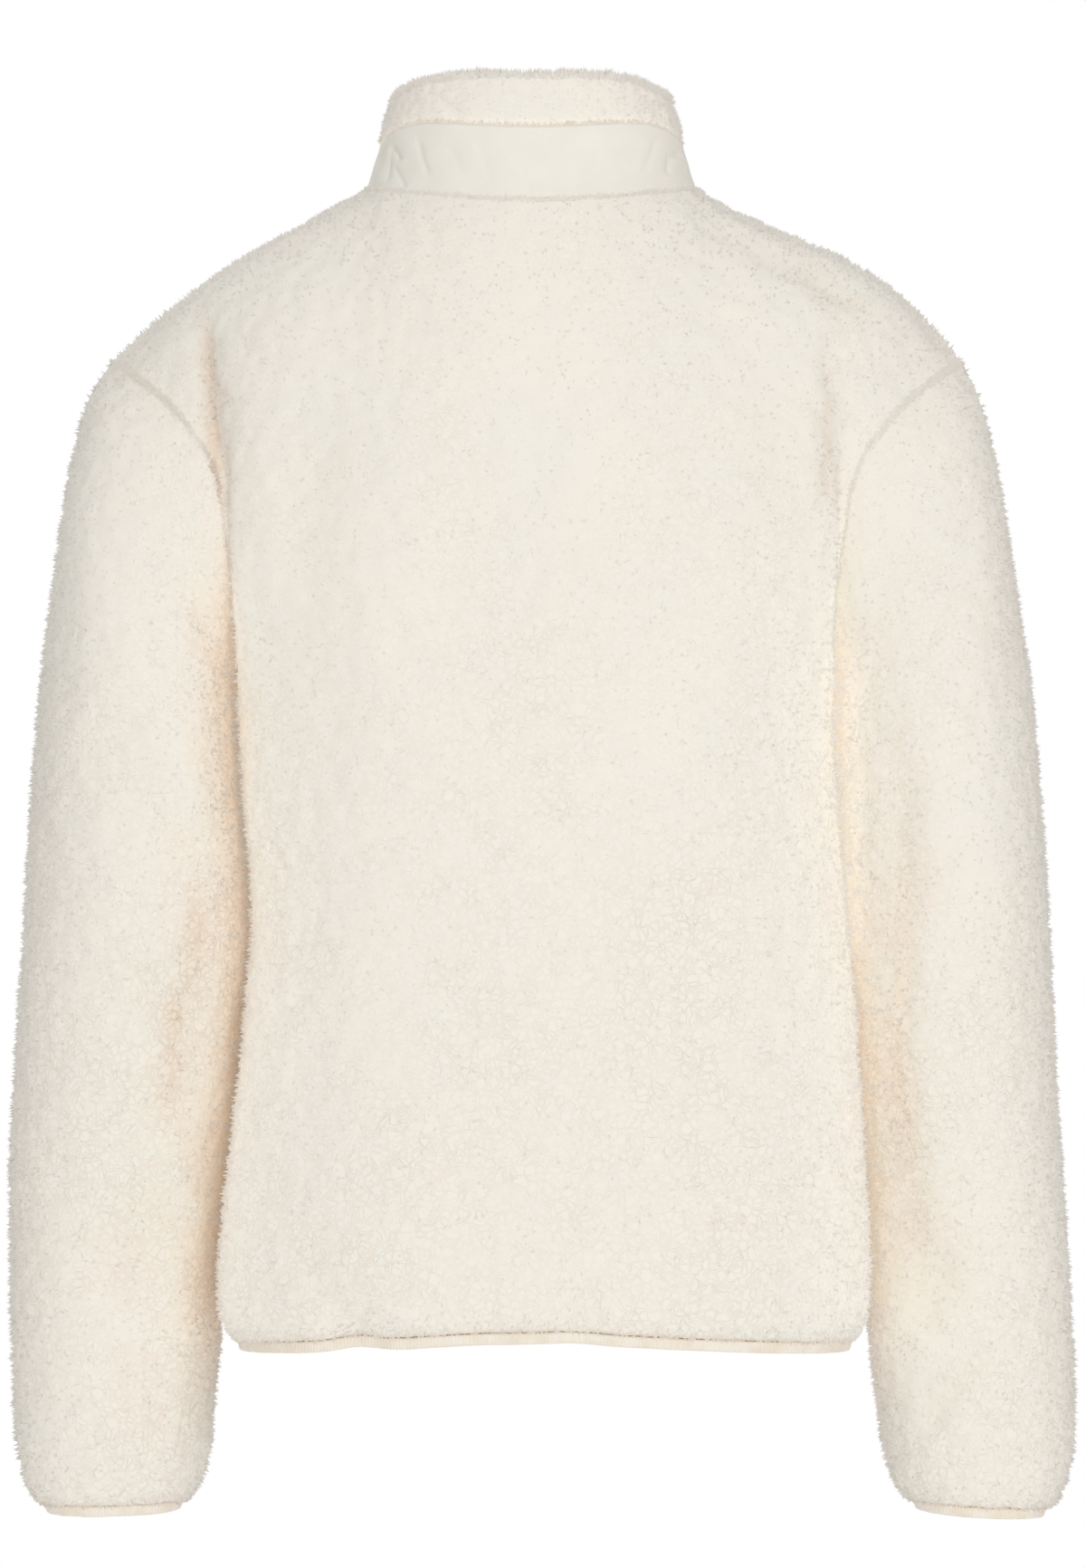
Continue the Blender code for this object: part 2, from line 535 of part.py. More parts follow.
def make_cloth():
    """Body, sleeves and collar as walls that meet edge to edge."""
    grids, normals = shape_body()
    stand = collar_rows(STAND)
    band = collar_rows(BAND_ROWS)
    stand_normals = grid_normals(stand[::-1], 1)[::-1]
    band_normals = grid_normals(band[::-1], 1)[::-1]
    middle = NECK_STEPS + SHOULDER_STEPS
    columns = slice(NECK_STEPS, None)
    back_left = normals["back"][:, middle:]
    back_right = normals["back"][:, middle::-1]
    for half, name in ((back_left, "front_left"), (back_right, "front_right")):
        share_normals(half[0, columns], normals[name][0, columns])
        share_normals(half[ARMHOLE_STEPS:, -1], normals[name][ARMHOLE_STEPS:, -1])
    centre = 2 * NECK_STEPS
    neck = slice(0, NECK_STEPS + 1)
    edges = (
        (back_left, slice(centre, centre + NECK_STEPS + 1), 1),
        (back_right, slice(centre - NECK_STEPS, centre + 1), -1),
        (normals["front_left"], slice(centre + NECK_STEPS, None), -1),
        (normals["front_right"], slice(0, NECK_STEPS + 1), 1),
    )
    for half, span, step in edges:
        seam = unit(half[0, neck] + stand_normals[0, span][::step])
        half[0, neck] = seam
        stand_normals[0, span] = seam[::step]
    share_normals(stand_normals[-1], band_normals[0])

    for side, name in ((1, "left"), (-1, "right")):
        rings = sleeve_rings(side)
        around = grid_normals(rings, -side, closed=True)
        turns = np.linspace(0, 1, rings.shape[1], endpoint=False)
        turn_grid = np.broadcast_to(turns, rings.shape[:2])
        depth = fold_depth("sleeve_" + name, turn_grid, -rings[..., 2], SLEEVE_TURN_LENGTH)
        depth[:PLAIN_RINGS[0]] = 0
        depth[-PLAIN_RINGS[1]:] = 0
        rings = rings - around * depth[..., None]
        around = grid_normals(rings, -side, closed=True)
        hub = np.array(ARMHOLE_CENTRE) * (side, 1, 1)
        radial = unit(rings[0] - hub)
        around[0] = radial
        half = back_left if side > 0 else back_right
        half[:ARMHOLE_STEPS + 1, -1] = radial[:ARMHOLE_STEPS + 1]
        front = np.concatenate([radial[ARMHOLE_STEPS:], radial[:1]])[::-1]
        normals["front_" + name][:ARMHOLE_STEPS + 1, -1] = front
        outer = rings.copy()
        outer[0] += unit(rings[1] - rings[0]) * HALF_GAP * 1.5
        wall("sleeve_" + name, outer, outer - around * SHERPA, CREAM, 0.95, closed=True)
        make_binding("cuff_binding_" + name, rings[-1], around[-1], closed=True)

    for name, edges in (("back", ("top", "left", "right")), ("front_left", ("top", "right")),
                        ("front_right", ("top", "right"))):
        outer = shrink(grids[name], normals[name], edges)
        wall(name + "_panel" if name == "back" else name, outer, outer - normals[name] * SHERPA, CREAM, 0.95)
    outer = shrink(stand, stand_normals, ("top", "bottom"), STAND_GAP)
    wall("collar_woven", outer, outer - stand_normals * WOVEN, IVORY, 0.7)
    outer = shrink(band, band_normals, ("top",))
    wall("collar_band", outer, outer - band_normals * BAND, CREAM, 0.95)

    hem = np.concatenate([grids["front_right"][-1], grids["back"][-1, 1:-1],
                          grids["front_left"][-1, ::-1]])
    hem_normals = np.concatenate([normals["front_right"][-1], normals["back"][-1, 1:-1],
                                  normals["front_left"][-1, ::-1]])
    make_binding("hem_binding", hem, hem_normals)
    return grids, normals, ((stand, stand_normals), (band, band_normals))


def make_binding(name, line, normals, closed=False):
    """Narrow elastic binding below a panel's edge: a rounded bar along the edge."""
    half = BINDING_WALL / 2
    if closed:
        along = np.roll(line, -1, axis=0) - np.roll(line, 1, axis=0)
    else:
        along = np.gradient(line, axis=0)
    upwards = unit(np.cross(along, normals))
    upwards = upwards * np.sign(upwards[:, 2:])
    level = unit(mix(upwards, np.array([0.0, 0.0, 1.0]), BINDING_HANG))
    outwards = unit(np.cross(level, along))
    outwards = outwards * np.sign(np.sum(outwards * normals, axis=1, keepdims=True))
    tilt = half * np.abs(np.sum(outwards * upwards, axis=1, keepdims=True))
    middle = line - normals * (BINDING_INSET + half) - upwards * (HALF_GAP * 1.5 + tilt)
    centre = middle - level * (BINDING_HEIGHT / 2)
    profile = ((1, 0.5), (-1, 0.5), (-1, -0.3), (-0.5, -0.5), (0.5, -0.5), (1, -0.3))
    wide, tall = outwards * half, level * BINDING_HEIGHT
    rings = np.stack([centre + a * wide + b * tall for a, b in profile], axis=1)
    return strip(name, rings, BINDING_COLOUR, 0.8, closed)


# ---------------------------------------------------------------- front zip
def front_edges(grids, normals, collar, side):
    """Edge line of one front and its collar end, the next line of points away from
    the zip, and the directions square to both, from the hem to the collar's top."""
    name = "front_left" if side > 0 else "front_right"
    lines = []
    for near in (0, 1):
        column = -1 - near if side > 0 else near
        body = (grids[name][::-1, near], normals[name][::-1, near])
        neck = [(grid[1:last, column], normal[1:last, column])
                for (grid, normal), last in zip(collar, TAPE_ENDS)]
        lines.append([np.concatenate([body[k]] + [part[k] for part in neck]) for k in (0, 1)])
    return lines


def make_tapes(grids, normals, collar):
    """Two tapes behind the front edges, made from the edges' own points.  Gives the
    line on the tapes' outer face where they meet."""
    depth = BAND + TAPE_GAP
    for side, name in ((1, "left"), (-1, "right")):
        (edge, edge_normal), (beyond, beyond_normal) = front_edges(grids, normals, collar, side)
        reach = np.linalg.norm(beyond - edge, axis=1, keepdims=True)
        share = (TAPE_WIDTH - ZIP_EDGE) / reach
        near = edge - edge_normal * depth
        near[:, 0] = side * TAPE_GAP / 2
        across = unit(mix(edge_normal, beyond_normal, share))
        far = mix(edge, beyond, share) - across * depth
        across[:, 0] = 0
        face = np.stack([near, far], axis=1)
        wall("zip_tape_" + name, face, face - unit(across)[:, None] * TAPE_WALL, IVORY, 0.8)
    near[:, 0] = 0
    return near


def slider_frame(line):
    """Where the pull's hinge stands over the tapes, the way up along the zip and the
    way out from it, read from the tapes' meeting line."""
    run = np.concatenate([[0], np.cumsum(np.linalg.norm(np.diff(line, axis=0), axis=1))])
    at = run[-1] - SLIDER_DROP

    def point(distance):
        return np.array([np.interp(distance, run, line[:, axis]) for axis in range(3)])

    up = unit(point(at + SLIDER_DROP) - point(at - SLIDER_DROP))
    out = np.array([0, -up[2], up[1]])
    return point(at), up, out


def placed(shape, base, up, out, rise=0.0):
    """Points given as across, along the zip and out from it, put in their place."""
    shape = np.asarray(shape, dtype=float)
    return base + shape[:, :1] * (1, 0, 0) + shape[:, 1:2] * up + (shape[:, 2:3] + rise) * out


def prism(name, outline, low, high, frame, rise, colour, along_x=False):
    """Outline extruded between two levels.  Along X the outline is given as up and
    out, otherwise as across and up."""
    base, up, out = frame
    order = (2, 0, 1) if along_x else (0, 1, 2)
    layers = []
    for level in (low, high):
        points = np.array([(*pair, level) for pair in outline])
        layers.append(placed(points[:, order], base, up, out, rise))
    count = len(outline)
    faces = [list(range(count))[::-1], list(range(count, 2 * count))]
    faces += [[i, (i + 1) % count, count + (i + 1) % count, count + i] for i in range(count)]
    return build_object(name, np.concatenate(layers), faces, colour, 0.35, 1.0)


def unite(item, other):
    """Joins another solid to an object for good, and leaves it as a hidden guide."""
    other.hide_render = True
    other.display_type = "WIRE"
    union = item.modifiers.new("union", "BOOLEAN")
    union.operation = "UNION"
    union.solver = "EXACT"
    union.object = other


def make_slider(frame):
    """Slider body with the arch that carries the pull."""
    slider = prism("zip_slider", SLIDER_OUTLINE, 0, SLIDER_WALL, frame, SLIDER_LIFT, METAL)
    half, root, top = BRIDGE_SPAN / 2, -BRIDGE_ROOT, BRIDGE_RISE
    inner, under = half - BRIDGE_WALL, BRIDGE_RISE - BRIDGE_WALL
    arch = ((-half, root), (-half, top * 0.7), (-inner, top), (inner, top), (half, top * 0.7), (half, root),
            (inner, root), (inner, under), (-inner, under), (-inner, root))
    bridge = prism("bridge_guide", arch, -BRIDGE_WIDTH / 2, BRIDGE_WIDTH / 2, frame,
                   SLIDER_LIFT + SLIDER_WALL, METAL, along_x=True)
    unite(slider, bridge)


def make_pull(frame):
    """Pull tab: a forked plate on a round bar that turns under the bridge.  Its
    object's origin is on the bar's axis."""
    rise = SLIDER_LIFT + SLIDER_WALL + HINGE_RISE
    wide, eye, top = PULL_HALF_WIDTH, EYE_HALF_WIDTH, PULL_WALL / 2
    half = [(wide, top), (wide, -EYE_LENGTH - wide / 2)]
    half += [(PULL_WAIST * math.cos(a), PULL_WAIST * math.sin(a) - PULL_LENGTH)
             for a in np.linspace(0, -math.pi / 2, 4)]
    outline = half + [(-x, y) for x, y in half[:-1][::-1]]
    outline += [(-eye, top), (-eye, -EYE_LENGTH), (eye, -EYE_LENGTH), (eye, top)]
    pull = prism("zip_pull_tab", outline, -PULL_WALL / 2, PULL_WALL / 2, frame, rise, METAL)
    ring = [(PULL_BAR * math.cos(a), PULL_BAR * math.sin(a)) for a in np.arange(10) * math.pi / 5]
    length = PULL_BAR_LENGTH / 2
    bar = prism("bar_guide", ring, -length, length, frame, rise, METAL, along_x=True)
    unite(pull, bar)
    base, up, out = frame
    hinge = base + out * rise
    for item in (pull, bar):
        item.data.transform(mathutils.Matrix.Translation(-mathutils.Vector(hinge)))
        item.location = hinge


def make_all():
    """The whole jacket."""
    grids, normals, collar = make_cloth()
    frame = slider_frame(make_tapes(grids, normals, collar))
    make_slider(frame)
    make_pull(frame)


make_all()
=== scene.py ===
import math

import bpy
import numpy as np
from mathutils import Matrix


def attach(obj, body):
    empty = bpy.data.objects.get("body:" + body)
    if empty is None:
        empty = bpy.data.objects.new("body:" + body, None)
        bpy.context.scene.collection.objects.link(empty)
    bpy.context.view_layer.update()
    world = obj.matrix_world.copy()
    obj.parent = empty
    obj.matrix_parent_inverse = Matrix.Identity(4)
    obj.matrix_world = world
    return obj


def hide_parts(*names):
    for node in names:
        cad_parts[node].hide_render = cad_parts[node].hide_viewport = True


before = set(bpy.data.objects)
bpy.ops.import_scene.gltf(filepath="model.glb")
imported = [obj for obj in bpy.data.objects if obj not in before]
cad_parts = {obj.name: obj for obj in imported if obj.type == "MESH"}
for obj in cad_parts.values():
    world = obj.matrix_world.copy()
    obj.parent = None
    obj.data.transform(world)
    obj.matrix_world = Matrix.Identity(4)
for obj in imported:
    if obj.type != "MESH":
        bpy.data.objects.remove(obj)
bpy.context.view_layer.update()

# ---------------------------------------------------------------- studio
# The jacket is seen from behind, level with its middle, through a long lens four metres away.
# It hangs in a white surround over a round pale floor that fades to white.  A large soft lamp
# lights it from each side and a faint one from above.
LENS_PLACE = (-0.0026, 4.0, -0.3337)
METRES_PER_PIXEL = 0.000515      # at the jacket's middle
FRAME_HEIGHT = 1732              # in pixels
SENSOR_HEIGHT = 36.0             # in millimetres
FLOOR_HEIGHT = -1.05
FLOOR_RADIUS = 2.2
FLOOR_FADE = (0.9, 2.1)          # where the floor starts and ends its change to white
FLOOR_GLOW = 0.17
FLOOR_COLOUR = (0.92, 0.92, 0.92, 1)
WHITE = (1.0, 1.0, 1.0, 1)
LAMPS = (                        # place, watts
    ((-0.55, 3.38, 0.75), 43.5),
    ((0.55, -3.38, 0.75), 43.5),
    ((0.0, 0.3, 1.8), 4.5),
)
LAMP_WIDTH = 1.7
LAMP_AIM = (0, 0, -0.35)
ROOM_LIGHT = 0.555

lens = bpy.data.cameras.new("camera")
lens.sensor_fit = "VERTICAL"
lens.sensor_height = SENSOR_HEIGHT
lens.lens = SENSOR_HEIGHT * LENS_PLACE[1] / (FRAME_HEIGHT * METRES_PER_PIXEL)
camera = bpy.data.objects.new("camera", lens)
camera.location = LENS_PLACE
camera.rotation_euler = (math.pi / 2, 0, math.pi)
bpy.context.scene.collection.objects.link(camera)
bpy.context.scene.camera = camera
bpy.context.scene.view_settings.view_transform = "Standard"

for number, (place, watts) in enumerate(LAMPS):
    light = bpy.data.lights.new(f"lamp_{number}", "AREA")
    light.shape = "SQUARE"
    light.size = LAMP_WIDTH
    light.energy = watts
    lamp = bpy.data.objects.new(f"lamp_{number}", light)
    away = np.array(place) - LAMP_AIM
    tilt = math.acos(away[2] / np.linalg.norm(away))
    lamp.location = place
    lamp.rotation_euler = (tilt, 0, math.atan2(away[1], away[0]) + math.pi / 2)
    bpy.context.scene.collection.objects.link(lamp)


def add_node(tree, kind, inputs, **options):
    """A new shader node of a kind with its options, whose inputs are set to values or joined
    to the outputs of other nodes."""
    node = tree.nodes.new("ShaderNode" + kind)
    for option, value in options.items():
        setattr(node, option, value)
    for place, value in inputs.items():
        if isinstance(value, bpy.types.NodeSocket):
            tree.links.new(value, node.inputs[place])
        else:
            node.inputs[place].default_value = value
    return node


surround = bpy.data.worlds.new("surround")
surround.use_nodes = True
bpy.context.scene.world = surround
tree = surround.node_tree
tree.nodes.clear()
seen = add_node(tree, "LightPath", {}).outputs["Is Camera Ray"]
lit, backdrop = (add_node(tree, "Background", {"Color": WHITE, "Strength": strength}).outputs[0]
                 for strength in (ROOM_LIGHT, 1.0))
either = add_node(tree, "MixShader", {"Fac": seen, 1: lit, 2: backdrop})
add_node(tree, "OutputWorld", {"Surface": either.outputs["Shader"]})

floor_mesh = bpy.data.meshes.new("floor")
angles = np.linspace(0, 2 * math.pi, 96, endpoint=False)
rim = np.stack([np.cos(angles), np.sin(angles), 0 * angles], axis=-1) * FLOOR_RADIUS
floor_mesh.from_pydata((rim + (0, 0, FLOOR_HEIGHT)).tolist(), [], [tuple(range(len(rim)))])
floor = bpy.data.objects.new("floor", floor_mesh)
bpy.context.scene.collection.objects.link(floor)
floor_paint = bpy.data.materials.new("floor_paint")
floor_paint.use_nodes = True
tree = floor_paint.node_tree
paint = tree.nodes["Principled BSDF"]
paint.inputs["Base Color"].default_value = FLOOR_COLOUR
paint.inputs["Roughness"].default_value = 1.0
paint.inputs["Specular IOR Level"].default_value = 0.0
paint.inputs["Emission Color"].default_value = WHITE
paint.inputs["Emission Strength"].default_value = FLOOR_GLOW
place = add_node(tree, "TexCoord", {}).outputs["Object"]
level = add_node(tree, "VectorMath", {0: place, 1: (1, 1, 0)}, operation="MULTIPLY")
away = add_node(tree, "VectorMath", {0: level.outputs["Vector"]}, operation="LENGTH")
fade = add_node(tree, "MapRange", {"From Min": FLOOR_FADE[0], "From Max": FLOOR_FADE[1],
                                   "Value": away.outputs["Value"]})
white = add_node(tree, "Emission", {"Strength": 1.0})
blend = add_node(tree, "MixShader", {"Fac": fade.outputs["Result"], 1: paint.outputs["BSDF"],
                                     2: white.outputs["Emission"]})
tree.links.new(blend.outputs["Shader"], tree.nodes["Material Output"].inputs["Surface"])
floor_mesh.materials.append(floor_paint)

# ---------------------------------------------------------------- back panel
# One panel of cream sherpa, a knitted backing with a curly brushed pile, from the neck to the hem.
# It carries the dropped shoulders; the shoulder, armhole, neck and side seams hold it to the rest.
PILE_DEPTH = 0.0012              # from the hollows between clumps of pile to their tops
PILE_SINK = 0.0009               # the hollows lie this far below the panel's face
CLUMP = 0.0095                   # width of a clump
TUFT = 0.0053                    # width of the single tufts, drawn by the material
TUFT_BEND = (0.008, 0.008, 0.008)
CLOTH_DEPTH = 0.0060             # from the panel's face to its knitted reverse
SEAM_ROLL = 0.0006               # radius with which the pile rolls into a seam
ARMHOLE_ROLL = 0.0002
EDGE_ROLL = 0.0040               # and over a free edge
NECK_SHARE = 0.48                # share of the way across at which the neck point lies
NECK_COLUMNS = 40
SHOULDER_COLUMNS = 52
YOKE_ROWS = 112
LOWER_ROWS = 128
EASE_WIDTH = 9.0                 # in columns
EASE_TURNS = 60
COARSE = 4                       # the reverse has a point for every four of the pile's
ZIP_EDGE = 0.0060
NECK_SHIFT = 0.0041
NECK_CENTRE_Y = -0.0110
NECK_HALF = (0.0945, 0.0770)
NECK_HEIGHTS = (-0.0055, 0.0040, -0.0790)
SHOULDER_TIP = {1: (0.2430, -0.0050, -0.0930), -1: (0.2420, -0.0050, -0.0940)}
SHOULDER_ARCH = {1: (0.0085, 1.3), -1: (0.0165, 1.7)}
UNDERARM_DROP = 0.2950
HEM_DROP = 0.6480
HEM_ARCH = 0.0095
ARM_PRESS = (0.0100, 0.0450)
SIDE_FULLNESS = 1.015
SECTION_POWER = 3.0
BODY = np.array([                # drop, half width left, right, depth back, front, dent's y
    (0.000, 0.1600, 0.1600, 0.0660, 0.0720, 0.000),
    (0.030, 0.1650, 0.1620, 0.0800, 0.0790, 0.000),
    (0.070, 0.1700, 0.1640, 0.0950, 0.0865, 0.000),
    (0.110, 0.1740, 0.1660, 0.1050, 0.0970, 0.000),
    (0.160, 0.1770, 0.1670, 0.1130, 0.1090, 0.000),
    (0.220, 0.1780, 0.1680, 0.1190, 0.1180, 0.000),
    (0.295, 0.1740, 0.1700, 0.1220, 0.1240, 0.000),
    (0.345, 0.1695, 0.1725, 0.1205, 0.1260, -0.002),
    (0.380, 0.1665, 0.1745, 0.1190, 0.1270, -0.004),
    (0.415, 0.1645, 0.1765, 0.1180, 0.1275, -0.007),
    (0.455, 0.1665, 0.1795, 0.1175, 0.1275, -0.011),
    (0.495, 0.1700, 0.1815, 0.1180, 0.1275, -0.015),
    (0.540, 0.1745, 0.1840, 0.1195, 0.1275, -0.020),
    (0.580, 0.1785, 0.1855, 0.1210, 0.1270, -0.025),
    (0.612, 0.1805, 0.1865, 0.1220, 0.1265, -0.027),
    (0.633, 0.1790, 0.1850, 0.1205, 0.1245, -0.029),
    (0.648, 0.1710, 0.1780, 0.1140, 0.1185, -0.031),
])
ARMHOLE = {                      # for back and front: share down, share in, y, drop
    1: np.array([
        (0.00, 0.00, -0.005, 0.093), (0.16, 0.20, 0.028, 0.104), (0.32, 0.53, 0.052, 0.126),
        (0.48, 0.80, 0.064, 0.158), (0.64, 0.90, 0.063, 0.200), (0.82, 0.96, 0.044, 0.250),
        (1.00, 1.00, 0.000, UNDERARM_DROP),
    ]),
    -1: np.array([
        (0.00, 0.00, -0.005, 0.093), (0.16, 0.18, -0.037, 0.105), (0.32, 0.48, -0.059, 0.128),
        (0.48, 0.76, -0.069, 0.160), (0.64, 0.90, -0.067, 0.202), (0.82, 0.97, -0.046, 0.252),
        (1.00, 1.00, 0.000, UNDERARM_DROP),
    ]),
}
BACK_FOLDS = (                   # start x and drop, end x and drop, half width, depth
    (0.1890, 0.075, 0.1810, 0.175, 0.0080, 0.0034),
    (-0.1680, 0.085, -0.1680, 0.170, 0.0100, 0.0034),
    (0.1290, 0.130, 0.1380, 0.310, 0.0260, 0.0075),
    (-0.1360, 0.100, -0.1450, 0.250, 0.0220, 0.0055),
    (-0.1000, 0.018, -0.1800, 0.062, 0.0100, 0.0035),
    (0.1360, 0.590, 0.0960, 0.650, 0.0150, 0.0060),
    (0.1480, 0.250, 0.1380, 0.420, 0.0200, 0.0035),
    (-0.1500, 0.230, -0.1580, 0.380, 0.0160, 0.0030),
    (-0.0250, 0.600, -0.0180, 0.650, 0.0140, 0.0025),
    (0.0500, 0.520, 0.0380, 0.640, 0.0260, 0.0022),
    (-0.0900, 0.470, -0.1050, 0.600, 0.0240, 0.0022),
    (0.0100, 0.090, 0.0300, 0.260, 0.0300, 0.0018),
    (0.1450, 0.470, 0.1500, 0.560, 0.0140, 0.0025),
)
BACK_CREASES = (
    (0.1885, 0.080, 0.1795, 0.180, 0.0026, 0.0012),
    (-0.1650, 0.105, -0.1640, 0.175, 0.0024, 0.0004),
    (0.1820, 0.108, 0.1730, 0.122, 0.0018, 0.0005),
    (-0.1450, 0.040, -0.1850, 0.066, 0.0040, 0.0003),
)
PILE_COLOUR = (0.892, 0.838, 0.756)
PALE_COLOUR = (0.876, 0.842, 0.758)
# painted shade: the warm darker colour the pile takes in creases, beside seams and where a sleeve
# meets the body
PAINTED_SHADE_COLOUR = (0.800, 0.675, 0.550)
# painted shade: the darker warm colour painted into the cracks between tufts
PAINTED_CRACK_SHADE_COLOUR = (0.700, 0.490, 0.330)
SEAM_SHADE = 0.12                # painted shade on the pile beside a seam, darker and warmer
HEM_SHADE = 0.50                 # and beside a bound edge
ARMHOLE_SHADE = {                # drop and painted shade
    1: ((0.095, 0.12), (0.108, 0.34), (0.128, 0.30), (0.142, 0.08), (0.180, 0.12), (0.210, 0.50)),
    -1: ((0.090, 0.10), (0.250, 0.05)),
}
SIDE_SHADE = {1: 0.4, -1: 0.0}   # painted shade on the body where a sleeve lies against it
SIDE_PAINTED_GLOW = {1: 0.22, -1: 0.20}  # and the painted glow, an emission, that its pile gives there
REVERSE_COLOUR = (0.800, 0.735, 0.640)
BACK_FIBRES = 15000
FIBRE_RADIUS = 0.00080           # at the foot of a tuft's tip
SPARSE = 0.30                    # share of tips where the cloth faces the back or the front
# painted glow added at each tip's point, which makes it paler
PAINTED_GLOW_AT_TIP = 0.08
TIP_SCATTER = 0.45               # how far a tip leans by chance
TIP_REACH = (0.55, 1.25)         # a tip's length and width, as shares of its bed's
TIP_WIDTH = (0.5, 1.9)
TIP_ROOT = 0.0006                # how far it is rooted in the pile
TIP_GLOW = (0.42, 0.32)          # painted glow, an emission for the light a tip lets pass, in the open and in painted shade
CREASE_SHADE = 700               # painted shade for each metre of a crease's or a fold's depth
HOLLOW_SHADE = 5
PAINTED_CRACK_SHADE = (0.18, 0.55)        # how strongly painted shade darkens the cracks, in the open and in painted shade
CRACK_RELIEF = -0.0002
NAP_RELIEF = 0.00016


def unit(vectors):
    """The same directions with length one."""
    return vectors / np.maximum(np.linalg.norm(vectors, axis=-1, keepdims=True), 1e-12)


def between(first, last, share):
    """Straight from the first at 0 to the last at 1."""
    return first + (last - first) * share


def smooth_run(keys, values, at):
    """Cubic curve through the values at their keys: each slope is taken from the two
    neighbours, and Hermite's weights join heights and slopes between two keys."""
    slopes = np.gradient(values, keys, axis=0)
    at = np.clip(at, keys[0], keys[-1])
    low = np.clip(np.searchsorted(keys, at, side="right") - 1, 0, len(keys) - 2)
    span = (keys[low + 1] - keys[low]).reshape(at.shape + (1,) * (values.ndim - 1))
    f = (at - keys[low]).reshape(span.shape) / span
    start = (1 + 2 * f) * (1 - f) ** 2 * values[low] + f * (1 - f) ** 2 * span * slopes[low]
    return start + f * f * (3 - 2 * f) * values[low + 1] + f * f * (f - 1) * span * slopes[low + 1]


def neckline(theta, side):
    """Neck seam at an angle from the centre back: an ellipse in plan whose height goes from
    the neck point's to the back's or the front's with the square of the cosine."""
    front = np.clip(theta / (math.pi / 2) - 1, 0, 1)
    end = np.where(theta <= math.pi / 2, NECK_HEIGHTS[0], NECK_HEIGHTS[2])
    x = NECK_SHIFT * (1 - front) + side * (NECK_HALF[0] * np.sin(theta) + ZIP_EDGE * front)
    y = NECK_CENTRE_Y + NECK_HALF[1] * np.cos(theta)
    z = NECK_HEIGHTS[1] + (end - NECK_HEIGHTS[1]) * np.cos(theta) ** 2
    return np.stack([x, y, z], axis=-1)


def level_section(u, drop, side, facing):
    """Level section of the body from the centre line (u = 0) to the side seam (u = 1): a
    superellipse in polar form, less a bell-shaped dent where the arm lies against it."""
    theta = u * math.pi / 2
    width = smooth_run(BODY[:, 0], BODY[:, 1 if side > 0 else 2], drop) * SIDE_FULLNESS
    depth = smooth_run(BODY[:, 0], BODY[:, 3 if facing > 0 else 4], drop)
    power = SECTION_POWER
    radius = ((np.sin(theta) / width) ** power + (np.cos(theta) / depth) ** power) ** (-1 / power)
    y = facing * radius * np.cos(theta)
    beside = (y - smooth_run(BODY[:, 0], BODY[:, 5], drop)) / ARM_PRESS[1]
    dent = ARM_PRESS[0] * np.exp(-beside ** 2)
    x = radius * np.sin(theta) - dent * np.sin(theta) ** 4
    if facing < 0:
        x = x + ZIP_EDGE * np.clip(1 - u / NECK_SHARE, 0, 1)
    arch = HEM_ARCH * np.cos(theta) ** 2 if facing > 0 else 0.0
    # the back's hem arches up towards its middle, growing from the underarm down
    lift_and_painted_glow = arch * np.clip((drop - UNDERARM_DROP) / (HEM_DROP - UNDERARM_DROP), 0, 1)
    return np.stack([side * x, y, lift_and_painted_glow - drop + 0 * theta], axis=-1)


def shoulder_seam(u, side):
    """Shoulder seam from the neck point to the tip: a straight line raised by a skewed sine."""
    along = np.clip((u - NECK_SHARE) / (1 - NECK_SHARE), 0, 1)[..., None]
    point = neckline(np.array(math.pi / 2), side)
    tip = np.array(SHOULDER_TIP[side]) * (side, 1, 1)
    seam = between(point, tip, along)
    rise, skew = SHOULDER_ARCH[side]
    seam[..., 2] += rise * np.sin(math.pi * along[..., 0] ** skew)
    return seam


def armhole_seam(v, side, facing):
    """Armhole from the shoulder tip (v = 0) to the underarm (v = 1): a smooth curve through
    a table."""
    table = ARMHOLE[facing]
    low = level_section(np.array(1.0), np.array(UNDERARM_DROP), side, facing)[0] * side
    x = side * between(SHOULDER_TIP[side][0], low, smooth_run(table[:, 0], table[:, 1], v))
    start = SHOULDER_TIP[side][2] + table[0, 3]
    z = start * (1 - v) - smooth_run(table[:, 0], table[:, 3], v)
    return np.stack([x, smooth_run(table[:, 0], table[:, 2], v), z], axis=-1)


